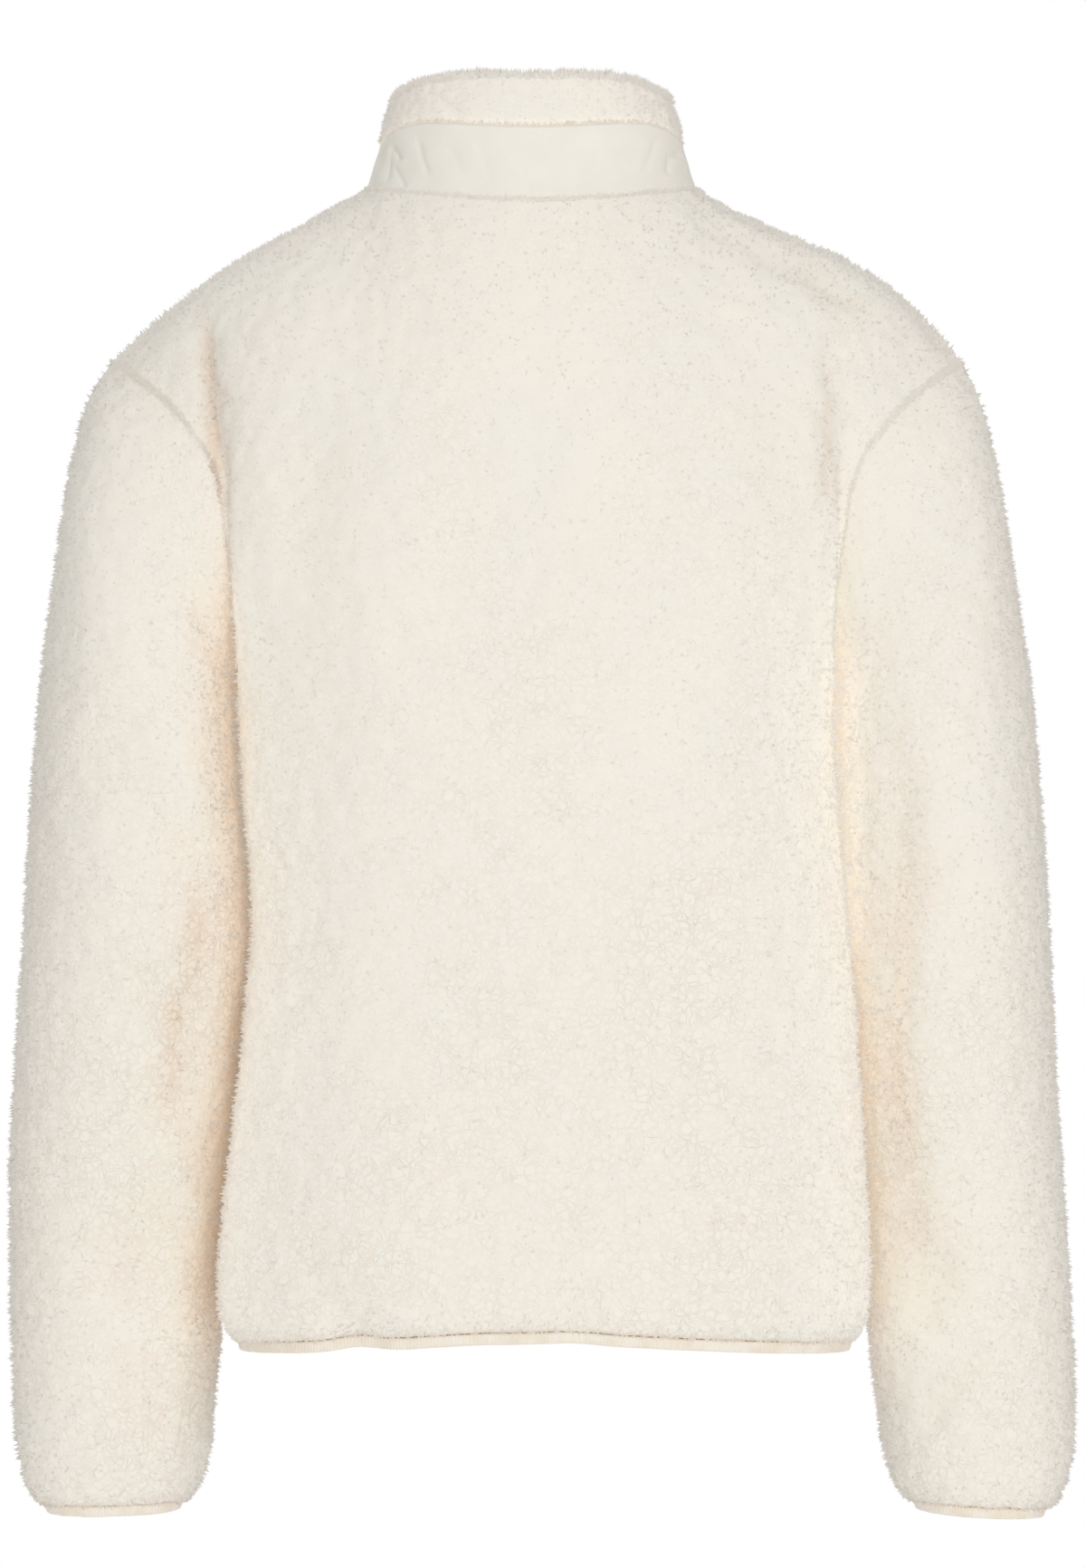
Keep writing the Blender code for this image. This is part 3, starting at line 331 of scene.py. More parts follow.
def yoke(u, v, side, facing):
    """Cloth above the underarm: from the top row to the underarm row, depth grows with the
    sine and height with one minus the cosine, and the centre line and the armhole pull it
    to themselves with the third power of their nearness."""
    theta = np.clip(u / NECK_SHARE, 0, 1) * math.pi / 2
    neck = neckline(theta if facing > 0 else math.pi - theta, side)
    top = np.where((u <= NECK_SHARE)[..., None], neck, shoulder_seam(u, side))
    low = level_section(u, np.full_like(u, UNDERARM_DROP), side, facing)
    across = np.sin(v * math.pi / 2)
    share = np.stack([across, across, 1 - np.cos(v * math.pi / 2)], axis=-1)
    zero = np.zeros_like(v)
    centre_top = neckline(zero if facing > 0 else zero + math.pi, side)
    centre_low = level_section(zero, zero + UNDERARM_DROP, side, facing)
    centre_z = between(centre_top[..., 2], centre_low[..., 2], v)
    depths = BODY[:, 3 if facing > 0 else 4]
    start = facing * centre_top[..., 1] - smooth_run(BODY[:, 0], depths, -centre_top[..., 2])
    depth = smooth_run(BODY[:, 0], depths, -centre_z) + start * (1 - v)
    centre_x = between(centre_top[..., 0], centre_low[..., 0], v)
    centre = np.stack([centre_x, facing * depth, centre_z], axis=-1)
    side_top = shoulder_seam(zero + 1, side)
    side_low = level_section(zero + 1, zero + UNDERARM_DROP, side, facing)
    seam = armhole_seam(v, side, facing)
    near = ((1 - u) ** 3)[..., None]
    far = (u ** 3)[..., None]
    return (between(top, low, share) + near * (centre - between(centre_top, centre_low, share))
            + far * (seam - between(side_top, side_low, share)))


def run_lengths(points):
    """Running length along a line of points, or down each column of a grid of them."""
    run = np.cumsum(np.linalg.norm(np.diff(points, axis=0), axis=-1), axis=0)
    return np.concatenate([np.zeros_like(run[:1]), run])


def stepped(count, fine_start=False, fine_end=False):
    """Shares from 0 to 1 in equal steps, with three shorter ones at an end that is rolled."""
    steps = np.ones(count)
    if fine_start:
        steps[:3] = (0.3, 0.4, 0.7)
    if fine_end:
        steps[-3:] = (0.7, 0.4, 0.3)
    return np.concatenate([[0], np.cumsum(steps)]) / steps.sum()


def even_shares(line, first, last, steps):
    """Shares from first to last that cut a finely drawn line into lengths in the proportion
    of the steps: running length is turned into share."""
    run = run_lengths(line)
    return np.interp(steps, run / run[-1], np.linspace(first, last, len(line)))


def panel_half(side, facing):
    """Half the back or one front on a fine grid: rows from the shoulder to the hem, columns
    from the centre line to the armhole and the side seam, all about equally far apart."""
    u = np.linspace(0, NECK_SHARE, 400)
    line = level_section(u, np.full_like(u, 0.4), side, facing)
    neck = even_shares(line, 0, NECK_SHARE, stepped(NECK_COLUMNS, fine_start=facing < 0))
    u = np.linspace(NECK_SHARE, 1, 400)
    line = level_section(u, np.full_like(u, 0.4), side, facing)
    flank = even_shares(line, NECK_SHARE, 1, stepped(SHOULDER_COLUMNS, fine_end=True))
    columns = np.concatenate([neck, flank[1:]])
    v = np.linspace(0, 1, 400)
    line = yoke(np.full_like(v, 0.6), v, side, facing)
    down = even_shares(line, 0, 1, stepped(YOKE_ROWS, fine_start=True))
    drop = np.linspace(UNDERARM_DROP, HEM_DROP, 400)
    line = level_section(np.full_like(drop, 0.3), drop, side, facing)
    low = even_shares(line, UNDERARM_DROP, HEM_DROP, stepped(LOWER_ROWS, fine_end=True))
    upper = yoke(*np.meshgrid(columns, down), side, facing)
    lower = level_section(*np.meshgrid(columns, low[1:]), side, facing)
    return np.concatenate([upper, lower])


def outward(grid, sign, ring=False):
    """Directions square to a grid: the cross product of its steps across and down."""
    if ring:
        wide = np.concatenate([grid[:, -1:], grid, grid[:, :1]], axis=1)
        across = (wide[:, 2:] - wide[:, :-2]) / 2
    else:
        across = np.gradient(grid, axis=1)
    return sign * unit(np.cross(across, np.gradient(grid, axis=0)))


def fold_depth(folds, across, drop, scale=1.0, sharp=False):
    """How deep folds press the cloth in: across each fold a bell, or for a sharp crease a
    double exponential, with a soft start and end."""
    total = np.zeros_like(drop)
    for x0, drop0, x1, drop1, width, depth in folds:
        along = np.array([(x1 - x0) * scale, drop1 - drop0])
        length = np.linalg.norm(along)
        offset = np.stack([(across - x0) * scale, drop - drop0], axis=-1)
        run = (offset @ along) / length ** 2
        away = (offset[..., 0] * along[1] - offset[..., 1] * along[0]) / length
        reach = np.clip(1 - np.maximum(np.abs(run - 0.5) - 0.35, 0) / 0.35, 0, 1)
        beside = np.abs(away / (width * scale))
        total += depth * np.exp(-beside if sharp else -beside ** 2) * reach ** 2 * (3 - 2 * reach)
    return total


def ripple(points, length, seed):
    """Smooth unevenness from -1 to 1: the mean of six sine waves in scattered directions."""
    random = np.random.default_rng(seed)
    ways = unit(random.normal(size=(6, 3))) * (2 * math.pi / length)
    ways = ways * random.uniform(0.7, 1.4, (6, 1))
    return np.sin(points @ ways.T + random.uniform(0, 2 * math.pi, 6)).mean(axis=-1) * 1.6


def scatter(cells, number):
    """A number from 0 to 1 for each cell: the far digits of a sine of its whole coordinates."""
    wave = np.sin(cells @ (12.9898, 78.233, 37.719) + number * 4.13)
    return np.modf(np.abs(wave) * 43758.5453)[0]


def clumps(points, size):
    """Height of soft clumps of pile from 0 to 1: each cube of space has one clump's centre
    anywhere in it, and a point is as high as its nearest centre is near, as on a dome, with
    the valleys between two domes filled by their smooth maximum."""
    bend = np.stack([ripple(points, 2.1 * size, seed) for seed in (1, 2, 3)], axis=-1)
    bent = points + 0.2 * size * bend
    place = bent.reshape(-1, 3) / size
    corner = np.floor(place)
    total = np.zeros(len(place))
    for step in np.ndindex(3, 3, 3):
        cell = corner + np.array(step) - 1
        spot = np.stack([scatter(cell, number) for number in (1, 2, 3)], axis=-1)
        away = np.sum((place - cell - spot) ** 2, axis=1)
        total += np.exp(-6.5 * away) * (0.75 + 0.25 * scatter(cell, 4))
    return np.clip(1.15 + np.log(total + 0.05) / 2.6, 0, 1.2).reshape(points.shape[:-1])


def edge_roll(grid, edges, ring=False):
    """How far the face dips towards its edges (top, bottom, left, right), a quarter circle
    of each edge's radius over the distance from it, and the painted shade beside each edge, a
    bell as high as the edge's shade."""
    down = run_lengths(grid)
    distances = [down, down[-1:] - down]
    if not ring:
        across = run_lengths(grid.swapaxes(0, 1)).T
        distances += [across, across[:, -1:] - across]
    dip, near = np.zeros((2,) + grid.shape[:2])
    for distance, (radius, shade) in zip(distances, edges):
        short = np.clip(1 - distance / radius, 0, 1)
        dip = np.maximum(dip, radius * (1 - np.sqrt(1 - short ** 2)))
        near = np.maximum(near, shade * np.exp(-(distance / 0.0030) ** 2))
    return dip, near


def curliness(points):
    """How curled the pile is, from 0 to 1: more towards the hem, and unevenly so."""
    low_down = np.clip((-points[..., 2] - 0.05) / 0.40, 0, 1)
    uneven = 0.30 * ripple(points * (1, 1, 0.45), 0.085, 8) + 0.15 * ripple(points, 0.03, 9)
    return np.clip(0.26 + 0.60 * low_down + uneven, 0, 1)


def by_height(points, table):
    """Straight runs between the values in a table of drops, at each point's drop."""
    return np.interp(-points[..., 2], *np.array(table).T)


def cloth_object(name, points, faces, finishes, back_faces=0, tags=None):
    """A mesh object at the origin from points and faces; the last faces take the second
    finish, and each tag is a number kept at every point."""
    mesh = bpy.data.meshes.new(name)
    mesh.from_pydata(points, [], faces)
    for finish in finishes:
        mesh.materials.append(finish)
    slots = np.zeros(len(faces), dtype=np.int32)
    if back_faces:
        slots[-back_faces:] = 1
    mesh.polygons.foreach_set("material_index", slots)
    for tag, values in (tags or {}).items():
        layer = mesh.attributes.new(tag, "FLOAT", "POINT")
        layer.data.foreach_set("value", np.asarray(values, dtype=np.float32).ravel())
    mesh.shade_smooth()
    item = bpy.data.objects.new(name, mesh)
    bpy.context.scene.collection.objects.link(item)
    return item


def quads_of(index):
    """Faces between neighbouring rows and columns of a grid of point numbers."""
    corners = (index[:-1, :-1], index[:-1, 1:], index[1:, 1:], index[1:, :-1])
    return np.stack(corners, axis=-1).reshape(-1, 4)


def rim_of(fine, coarse, flip):
    """Faces between a fine edge and a coarse one: one corner for each point of both."""
    fans = [fine[k:len(fine) - COARSE + k:COARSE] for k in range(COARSE)] + [fine[COARSE::COARSE]]
    rim = np.stack(fans + [coarse[1:], coarse[:-1]], axis=-1)
    return rim[:, ::-1] if flip else rim


def sherpa_panel(name, base, normals, sign, edges, finishes, painted_shade, lift_and_painted_glow, ring=False):
    """A closed panel: the clumped and gently swaying face on a fine grid, the reverse on a
    coarse one, and rims between their edges.  Gives the object and its face, with its painted
    shade and painted glow as two more numbers at each point."""
    dip, near = edge_roll(base, edges, ring)
    rise = PILE_DEPTH * clumps(base, CLUMP) - PILE_SINK + 0.0003 * ripple(base, 0.035, 5) - dip
    face = base + normals * rise[..., None]
    step = np.s_[::COARSE, ::COARSE]
    reverse = (base - normals * CLOTH_DEPTH)[step]
    front = np.arange(face.shape[0] * face.shape[1]).reshape(face.shape[:2])
    back = np.arange(reverse.shape[0] * reverse.shape[1]).reshape(reverse.shape[:2]) + front.size
    if ring:
        front = np.concatenate([front, front[:, :1]], axis=1)
        back = np.concatenate([back, back[:, :1]], axis=1)
    flip = sign < 0
    rims = [rim_of(front[0], back[0], not flip), rim_of(front[-1], back[-1], flip)]
    if not ring:
        rims += [rim_of(front[:, 0], back[:, 0], flip), rim_of(front[:, -1], back[:, -1], not flip)]
    outer, inner = quads_of(front), quads_of(back)
    if flip:
        outer = outer[:, ::-1]
    else:
        inner = inner[:, ::-1]
    faces = outer.tolist() + sum((rim.tolist() for rim in rims), []) + inner.tolist()
    points = np.concatenate([face.reshape(-1, 3), reverse.reshape(-1, 3)])
    shades = np.stack([curliness(base), np.maximum(painted_shade, near), lift_and_painted_glow], axis=-1)
    tags = np.concatenate([shades.reshape(-1, 3), np.zeros((reverse.size // 3, 3))])
    tags = dict(zip(("curl", "painted_shade", "lift_and_painted_glow"), tags.T))
    item = cloth_object(name, points, faces, finishes, len(inner), tags)
    return item, np.concatenate([face, shades[..., 1:]], axis=-1)


def fibres(name, beds, finish, seed):
    """Tips of tufts in one mesh.  Each bed is (grid, normals, number, length, lean, radius):
    points are scattered over its cells by area, more of them where the cloth turns sideways
    or up, and from each a spike stands along the normal, leant by chance and by the bed's
    own lean.  It takes the painted shade and painted glow of the pile at its foot and is lit
    with the pile's normal; a stronger painted glow at its tip makes it paler there, and its
    material's glow stands for the light it lets pass."""
    random = np.random.default_rng(seed)
    spikes, lit, shades = [], [], []
    for grid, normals, number, length, lean, radius in beds:
        rows, columns = grid.shape[0] - 1, grid.shape[1] - 1
        a, b, c = grid[:-1, :-1, :3], grid[:-1, 1:, :3], grid[1:, :-1, :3]
        turned = 1 - np.abs(normals[:-1, :-1, 1])
        area = np.linalg.norm(np.cross(b - a, c - a), axis=-1)
        size = (area * (SPARSE + 2 * (1 - SPARSE) * turned)).ravel()
        cell = random.choice(rows * columns, number, p=size / size.sum())
        row, column = cell // columns, cell % columns
        f, g = random.random((2, number, 1))
        foot = between(between(grid[row, column], grid[row, column + 1], f),
                       between(grid[row + 1, column], grid[row + 1, column + 1], f), g)
        normal = normals[row, column]
        way = unit(normal + TIP_SCATTER * random.normal(size=(number, 3)) + np.array(lean))
        reach = length * random.uniform(*TIP_REACH, (number, 1))
        turn = unit(np.cross(way, random.normal(size=(number, 3))))
        other = np.cross(way, turn)
        wide = radius * random.uniform(*TIP_WIDTH, (number, 1))
        start = foot[:, :3] - normal * TIP_ROOT
        corners = [start + wide * (turn * math.cos(angle) + other * math.sin(angle))
                   for angle in (0.0, 2.0944, 4.1888)]
        bend = turn * reach * random.uniform(-0.3, 0.3, (number, 1))
        spikes.append(np.stack(corners + [start + way * reach + bend], axis=1))
        lit.append(np.repeat(normal, 4, axis=0))
        shades.append(np.stack([foot[:, 3:]] * 3 + [foot[:, 3:] + (0.0, PAINTED_GLOW_AT_TIP)], axis=1))
    points = np.concatenate(spikes)
    painted_shade, lift_and_painted_glow = np.concatenate(shades).reshape(-1, 2).T
    first = np.arange(len(points))[:, None, None] * 4
    faces = first + np.array([(2, 1, 0), (0, 1, 3), (1, 2, 3), (2, 0, 3)])
    faces = faces.reshape(-1, 3).tolist()
    tags = {"curl": curliness(points), "painted_shade": painted_shade, "lift_and_painted_glow": lift_and_painted_glow}
    item = cloth_object(name, points.reshape(-1, 3), faces, [finish], tags=tags)
    item.data.normals_split_custom_set_from_vertices(np.concatenate(lit).tolist())
    item.visible_shadow = False
    item.visible_diffuse = False
    return item


def new_finish(name, colour, roughness, sheen=0.0, metallic=0.0):
    """A material with its node tree and its Principled shader."""
    finish = bpy.data.materials.new(name)
    finish.use_nodes = True
    shader = finish.node_tree.nodes["Principled BSDF"]
    shader.inputs["Base Color"].default_value = (*colour, 1)
    shader.inputs["Roughness"].default_value = roughness
    shader.inputs["Metallic"].default_value = metallic
    shader.inputs["Sheen Weight"].default_value = sheen
    shader.inputs["Sheen Roughness"].default_value = 0.45
    return finish, finish.node_tree, shader


def add_place(tree):
    """Where a point lies in its object's own frame, in metres."""
    return add_node(tree, "TexCoord", {}).outputs["Object"]


def add_noise(tree, place, scale, detail=2.0, output="Fac"):
    """Noise in metres: scale is how many lumps there are in one metre."""
    inputs = {"Scale": scale, "Detail": detail, "Vector": place}
    return add_node(tree, "TexNoise", inputs).outputs[output]


def add_mix(tree, factor, first, second):
    """Colour that goes from the first to the second with a factor."""
    inputs = {"Factor": factor, 6: first, 7: second}
    for slot, colour in inputs.items():
        if isinstance(colour, tuple):
            inputs[slot] = (*colour, 1)
    return add_node(tree, "Mix", inputs, data_type="RGBA").outputs[2]


def add_range(tree, value, low, high, to_low, to_high):
    """A value rescaled from one range to another and kept inside it."""
    inputs = {"Value": value, "From Min": low, "From Max": high,
              "To Min": to_low, "To Max": to_high}
    return add_node(tree, "MapRange", inputs).outputs["Result"]


def add_math(tree, operation, first, second):
    """Two values joined by an operation of arithmetic, such as their product."""
    return add_node(tree, "Math", {0: first, 1: second}, operation=operation).outputs["Value"]


def add_bump(tree, shader, height, distance, before=None):
    """Relief of the height times a distance in metres, on top of any bump before it."""
    inputs = {"Distance": distance, "Strength": 1.0, "Height": height}
    if before is not None:
        inputs["Normal"] = before
    bump = add_node(tree, "Bump", inputs).outputs["Normal"]
    tree.links.new(bump, shader.inputs["Normal"])
    return bump


pile_finish, tree, shader = new_finish("sherpa_pile", PILE_COLOUR, 0.95, sheen=0.12)
shader.inputs["Specular IOR Level"].default_value = 0.1
place = add_place(tree)
curl, painted_shade, lift_and_painted_glow = (add_node(tree, "Attribute", {}, name=tag, attribute_name=tag).outputs["Fac"]
                      for tag in ("curl", "painted_shade", "lift_and_painted_glow"))
drift = add_noise(tree, place, 130.0, 1.0, "Color")
bent = add_node(tree, "VectorMath", {0: drift, 1: TUFT_BEND, 2: place},
                operation="MULTIPLY_ADD").outputs["Vector"]
cells = add_node(tree, "TexVoronoi", {"Scale": 1 / TUFT, "Vector": bent},
                 feature="DISTANCE_TO_EDGE").outputs["Distance"]
cells = add_range(tree, cells, 0.0, 0.14, 1.0, 0.0)
worms = add_math(tree, "PINGPONG", add_noise(tree, bent, 0.72 / TUFT, 0.5), 0.5)
worms = add_range(tree, worms, 0.475, 0.5, 0.0, 1.0)
broken = add_range(tree, add_noise(tree, place, 95.0, 1.0), 0.36, 0.60, 0.60, 1.0)
broken = add_math(tree, "MULTIPLY", broken, curl)
crack = add_math(tree, "MULTIPLY", add_math(tree, "MAXIMUM", cells, worms), broken)
cloudy = add_range(tree, add_noise(tree, place, 16.0), 0.4, 0.6, 0.0, 1.0)
colour_and_painted_shade = add_mix(tree, cloudy, PILE_COLOUR, PALE_COLOUR)
# painted shade: the colour goes towards the painted shade colour by the painted shade number at
# each point
colour_and_painted_shade = add_mix(tree, add_range(tree, painted_shade, 0.0, 1.0, 0.0, 0.95), colour_and_painted_shade, PAINTED_SHADE_COLOUR)
# painted shade in the cracks, stronger where painted shade already lies
tint = add_math(tree, "MULTIPLY", crack, add_range(tree, painted_shade, 0.0, 0.6, *PAINTED_CRACK_SHADE))
colour_and_painted_shade = add_mix(tree, tint, colour_and_painted_shade, PAINTED_CRACK_SHADE_COLOUR)
tree.links.new(colour_and_painted_shade, shader.inputs["Base Color"])
# painted glow: the pile emits its own colour as strongly as its painted glow number, to lighten
# gaps and edges
tree.links.new(colour_and_painted_shade, shader.inputs["Emission Color"])
tree.links.new(lift_and_painted_glow, shader.inputs["Emission Strength"])
relief = add_bump(tree, shader, crack, CRACK_RELIEF)
add_bump(tree, shader, add_noise(tree, place, 900.0, 3.0), NAP_RELIEF, relief)

# The tips' material: half the pile's diffuse colour and a stronger painted glow, an emission that
# stands for light passing through them.
glowing_tip_finish = pile_finish.copy()
glowing_tip_finish.name = "pile_tips_painted_glow"
tree = glowing_tip_finish.node_tree
shader = tree.nodes["Principled BSDF"]
tree.links.remove(shader.inputs["Normal"].links[0])
colour_and_painted_shade = shader.inputs["Emission Color"].links[0].from_socket
# half the diffuse colour, so that the painted glow carries much of the tips' brightness
half = add_node(tree, "Mix", {"Factor": 0.5, 6: colour_and_painted_shade, 7: (0.0, 0.0, 0.0, 1)},
                data_type="RGBA")
tree.links.new(half.outputs[2], shader.inputs["Base Color"])
lift_and_painted_glow, painted_shade = (tree.nodes[tag].outputs["Fac"] for tag in ("lift_and_painted_glow", "painted_shade"))
lift_and_painted_glow = add_math(tree, "ADD", lift_and_painted_glow, add_range(tree, painted_shade, 0.0, 1.0, *TIP_GLOW))
tree.links.new(lift_and_painted_glow, shader.inputs["Emission Strength"])

reverse_finish, tree, shader = new_finish("knitted_reverse", REVERSE_COLOUR, 0.9, sheen=0.1)
knit = add_node(tree, "TexMagic", {"Scale": 700.0, "Vector": add_place(tree)})
add_bump(tree, shader, knit.outputs["Fac"], 0.0002)


def eased(grid, columns):
    """The grid with the bend below each neck point eased: near those columns each point goes
    halfway to the middle of its two neighbours, again and again."""
    rows, places = np.indices(grid.shape[:2])
    near = sum(np.exp(-((places - column) / EASE_WIDTH) ** 2) for column in columns)
    near = 0.5 * (near * np.minimum(rows / 8, 1))[:, 1:-1, None]
    grid = grid.copy()
    for turn in range(EASE_TURNS):
        grid[:, 1:-1] += near * ((grid[:, 2:] + grid[:, :-2]) / 2 - grid[:, 1:-1])
    return grid


def pressed(flat_grid, folds, creases, sign):
    """A panel's grid with its folds and creases pressed in, its normals, the painted shade at
    each point, most in its creases, and the painted glow of the pile where it faces a sleeve."""
    across, drop = flat_grid[..., 0], -flat_grid[..., 2]
    sharp = fold_depth(creases, across, drop, sharp=True)
    blurred = fold_depth([(*line[:4], line[4] + 0.0022, line[5]) for line in creases], across, drop)
    rows, columns = np.indices(flat_grid.shape[:2])
    inside = np.minimum(rows, np.minimum(columns, columns.max() - columns))
    depth = fold_depth(folds, across, drop)
    press = depth * np.minimum(inside / 6, 1) + sharp * np.minimum(inside / 2, 1)
    base = flat_grid - outward(flat_grid, sign) * press[..., None]
    normals = outward(base, sign)
    under_arm = np.clip((drop - 0.15) / 0.08, 0, 1)
    sideways = np.abs(normals[..., 0])
    shade = np.where(across > 0, SIDE_SHADE[1], SIDE_SHADE[-1])
    shade = shade * np.clip((sideways - 0.93) / 0.07, 0, 1)
    # painted shade beside the sleeves, in creases and in folds
    painted_shade = shade * under_arm + blurred * CREASE_SHADE + depth * HOLLOW_SHADE
    # painted glow on the body's sides where they face a sleeve
    lift_and_painted_glow = np.where(across > 0, SIDE_PAINTED_GLOW[1], SIDE_PAINTED_GLOW[-1])
    lift_and_painted_glow = lift_and_painted_glow * np.clip((sideways - 0.35) / 0.65, 0, 1) ** 1.5
    return base, normals, np.clip(painted_shade, 0, 1), lift_and_painted_glow * under_arm


halves = {side: panel_half(side, 1) for side in (1, -1)}
back_flat = np.concatenate([halves[-1][:, ::-1], halves[1][:, 1:]], axis=1)
middle = NECK_COLUMNS + SHOULDER_COLUMNS
back_flat = eased(back_flat, (middle - NECK_COLUMNS, middle + NECK_COLUMNS))
back_base, back_normals, painted_shade, lift_and_painted_glow = pressed(back_flat, BACK_FOLDS, BACK_CREASES, 1)
edges = ((SEAM_ROLL, SEAM_SHADE), (EDGE_ROLL, HEM_SHADE),
         (ARMHOLE_ROLL, by_height(back_base, ARMHOLE_SHADE[-1])),
         (ARMHOLE_ROLL, by_height(back_base, ARMHOLE_SHADE[1])))
back, back_face = sherpa_panel("back_panel_cloth", back_base, back_normals, 1, edges,
                               [pile_finish, reverse_finish], painted_shade, lift_and_painted_glow)
back_fibres = fibres("back_panel_fibres", [
    (back_face, back_normals, BACK_FIBRES, 0.0034, (0, 0, -0.1), FIBRE_RADIUS),
    (back_face[:9, :52], back_normals[:9, :52], 1400, 0.0034, (0, 0, 0.4), FIBRE_RADIUS),
    (back_face[:9, -52:], back_normals[:9, -52:], 1400, 0.0034, (0, 0, 0.4), FIBRE_RADIUS),
    (back_face[:3, 40:-40], back_normals[:3, 40:-40], 2200, 0.0032, (0, 0, 0.9), FIBRE_RADIUS),
    (back_face[-6:], back_normals[[-14] * 6], 2200, 0.0028, (0, 0, -0.9), FIBRE_RADIUS),
    (back_face[4:100, :3], back_normals[4:100, :3], 1100, 0.0030, (-0.5, 0, 0), FIBRE_RADIUS),
    (back_face[4:100, -3:], back_normals[4:100, -3:], 1100, 0.0030, (0.5, 0, 0), FIBRE_RADIUS),
], glowing_tip_finish, 11)
for piece in (back, back_fibres):
    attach(piece, "jacket")
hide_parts("back_panel")

# ---------------------------------------------------------------- front panels
# Two sherpa panels, cut as the back but with a lower neck and an edge beside the zip.
# They are sewn to the back at shoulder and side, and their zip edges are turned in and rounded.
FRONT_FOLDS = (
    (0.1280, 0.150, 0.1400, 0.340, 0.0260, 0.0070),
    (-0.1300, 0.140, -0.1420, 0.320, 0.0260, 0.0070),
    (0.1100, 0.580, 0.0780, 0.650, 0.0160, 0.0055),
    (0.1450, 0.330, 0.1380, 0.450, 0.0180, 0.0030),
    (-0.1500, 0.300, -0.1400, 0.430, 0.0180, 0.0030),
    (-0.0900, 0.560, -0.1050, 0.645, 0.0200, 0.0030),
    (0.0550, 0.200, 0.0480, 0.380, 0.0260, 0.0020),
    (-0.0600, 0.260, -0.0500, 0.420, 0.0260, 0.0020),
    (0.1500, 0.100, 0.1700, 0.180, 0.0120, 0.0040),
    (-0.1500, 0.105, -0.1680, 0.180, 0.0120, 0.0040),
)
FRONT_CREASES = (
    (0.1500, 0.100, 0.1720, 0.175, 0.0030, 0.0005),
    (-0.1500, 0.108, -0.1700, 0.170, 0.0030, 0.0005),
)
FRONT_FIBRES = 10500

fronts = {}
for side, name in ((1, "left"), (-1, "right")):
    flat_grid = eased(panel_half(side, -1), (NECK_COLUMNS,))
    sign = 1 if side < 0 else -1
    base, normals, painted_shade, lift_and_painted_glow = pressed(flat_grid, FRONT_FOLDS, FRONT_CREASES, sign)
    edges = ((SEAM_ROLL, SEAM_SHADE), (EDGE_ROLL, HEM_SHADE), (EDGE_ROLL, SEAM_SHADE),
             (ARMHOLE_ROLL, by_height(base, ARMHOLE_SHADE[side])))
    panel, face = sherpa_panel(f"front_{name}_cloth", base, normals, sign, edges,
                               [pile_finish, reverse_finish], painted_shade, lift_and_painted_glow)
    neck = np.s_[:3, :NECK_COLUMNS]
    stray = fibres(f"front_{name}_fibres", [
        (face, normals, FRONT_FIBRES, 0.0030, (0, 0, -0.1), FIBRE_RADIUS),
        (face[neck], normals[neck], 800, 0.0026, (0, 0, 0.9), FIBRE_RADIUS),
        (face[-6:], normals[[-14] * 6], 900, 0.0028, (0, 0, -0.9), FIBRE_RADIUS),
        (face[:, :4], normals[:, [12] * 4], 1100, 0.0022, (-side * 0.5, 0, 0), FIBRE_RADIUS),
    ], glowing_tip_finish, 21 + side)
    for piece in (panel, stray):
        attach(piece, "jacket")
    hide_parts(f"front_{name}")
    fronts[side] = (base, normals)

# ---------------------------------------------------------------- sleeves
# Each sleeve is one sherpa piece sewn into a tube and set into the dropped armhole.
# It hangs down beside the body, wrinkles at the elbow and narrows to the bound cuff.
SLEEVE_POWER = 2.3
SLEEVE_AROUND = 168
SLEEVE_DOWN = 236
SLEEVE_FIBRES = 20000
TURN_LENGTH = 0.45               # length of a whole turn in metres, for the folds
GAP_TURN = {                     # how far the face turns to the body where painted shade starts and is full
    1: (0.36, 0.97), -1: (0.60, 0.97),
}
GAP_SHADE = {                    # drop and painted shade where the sleeve faces the body
    1: ((0.17, 0.0), (0.23, 0.7), (0.42, 0.7), (0.47, 1.0), (0.62, 1.0), (0.72, 0.0)),
    -1: ((0.40, 0.0), (0.46, 0.45), (0.60, 0.45), (0.72, 0.0)),
}
FOLD_SHADE = ((0.30, 8.0), (0.42, 25.0))    # drop, and painted shade for each metre of a fold's depth
GAP_PAINTED_GLOW = {                     # drop and painted glow there
    1: ((0.17, 0.0), (0.23, 0.10), (0.44, 0.04), (0.48, 0.0), (0.72, 0.0)),
    -1: ((0.15, 0.0), (0.22, 0.22), (0.42, 0.22), (0.47, 0.20), (0.72, 0.0)),
}
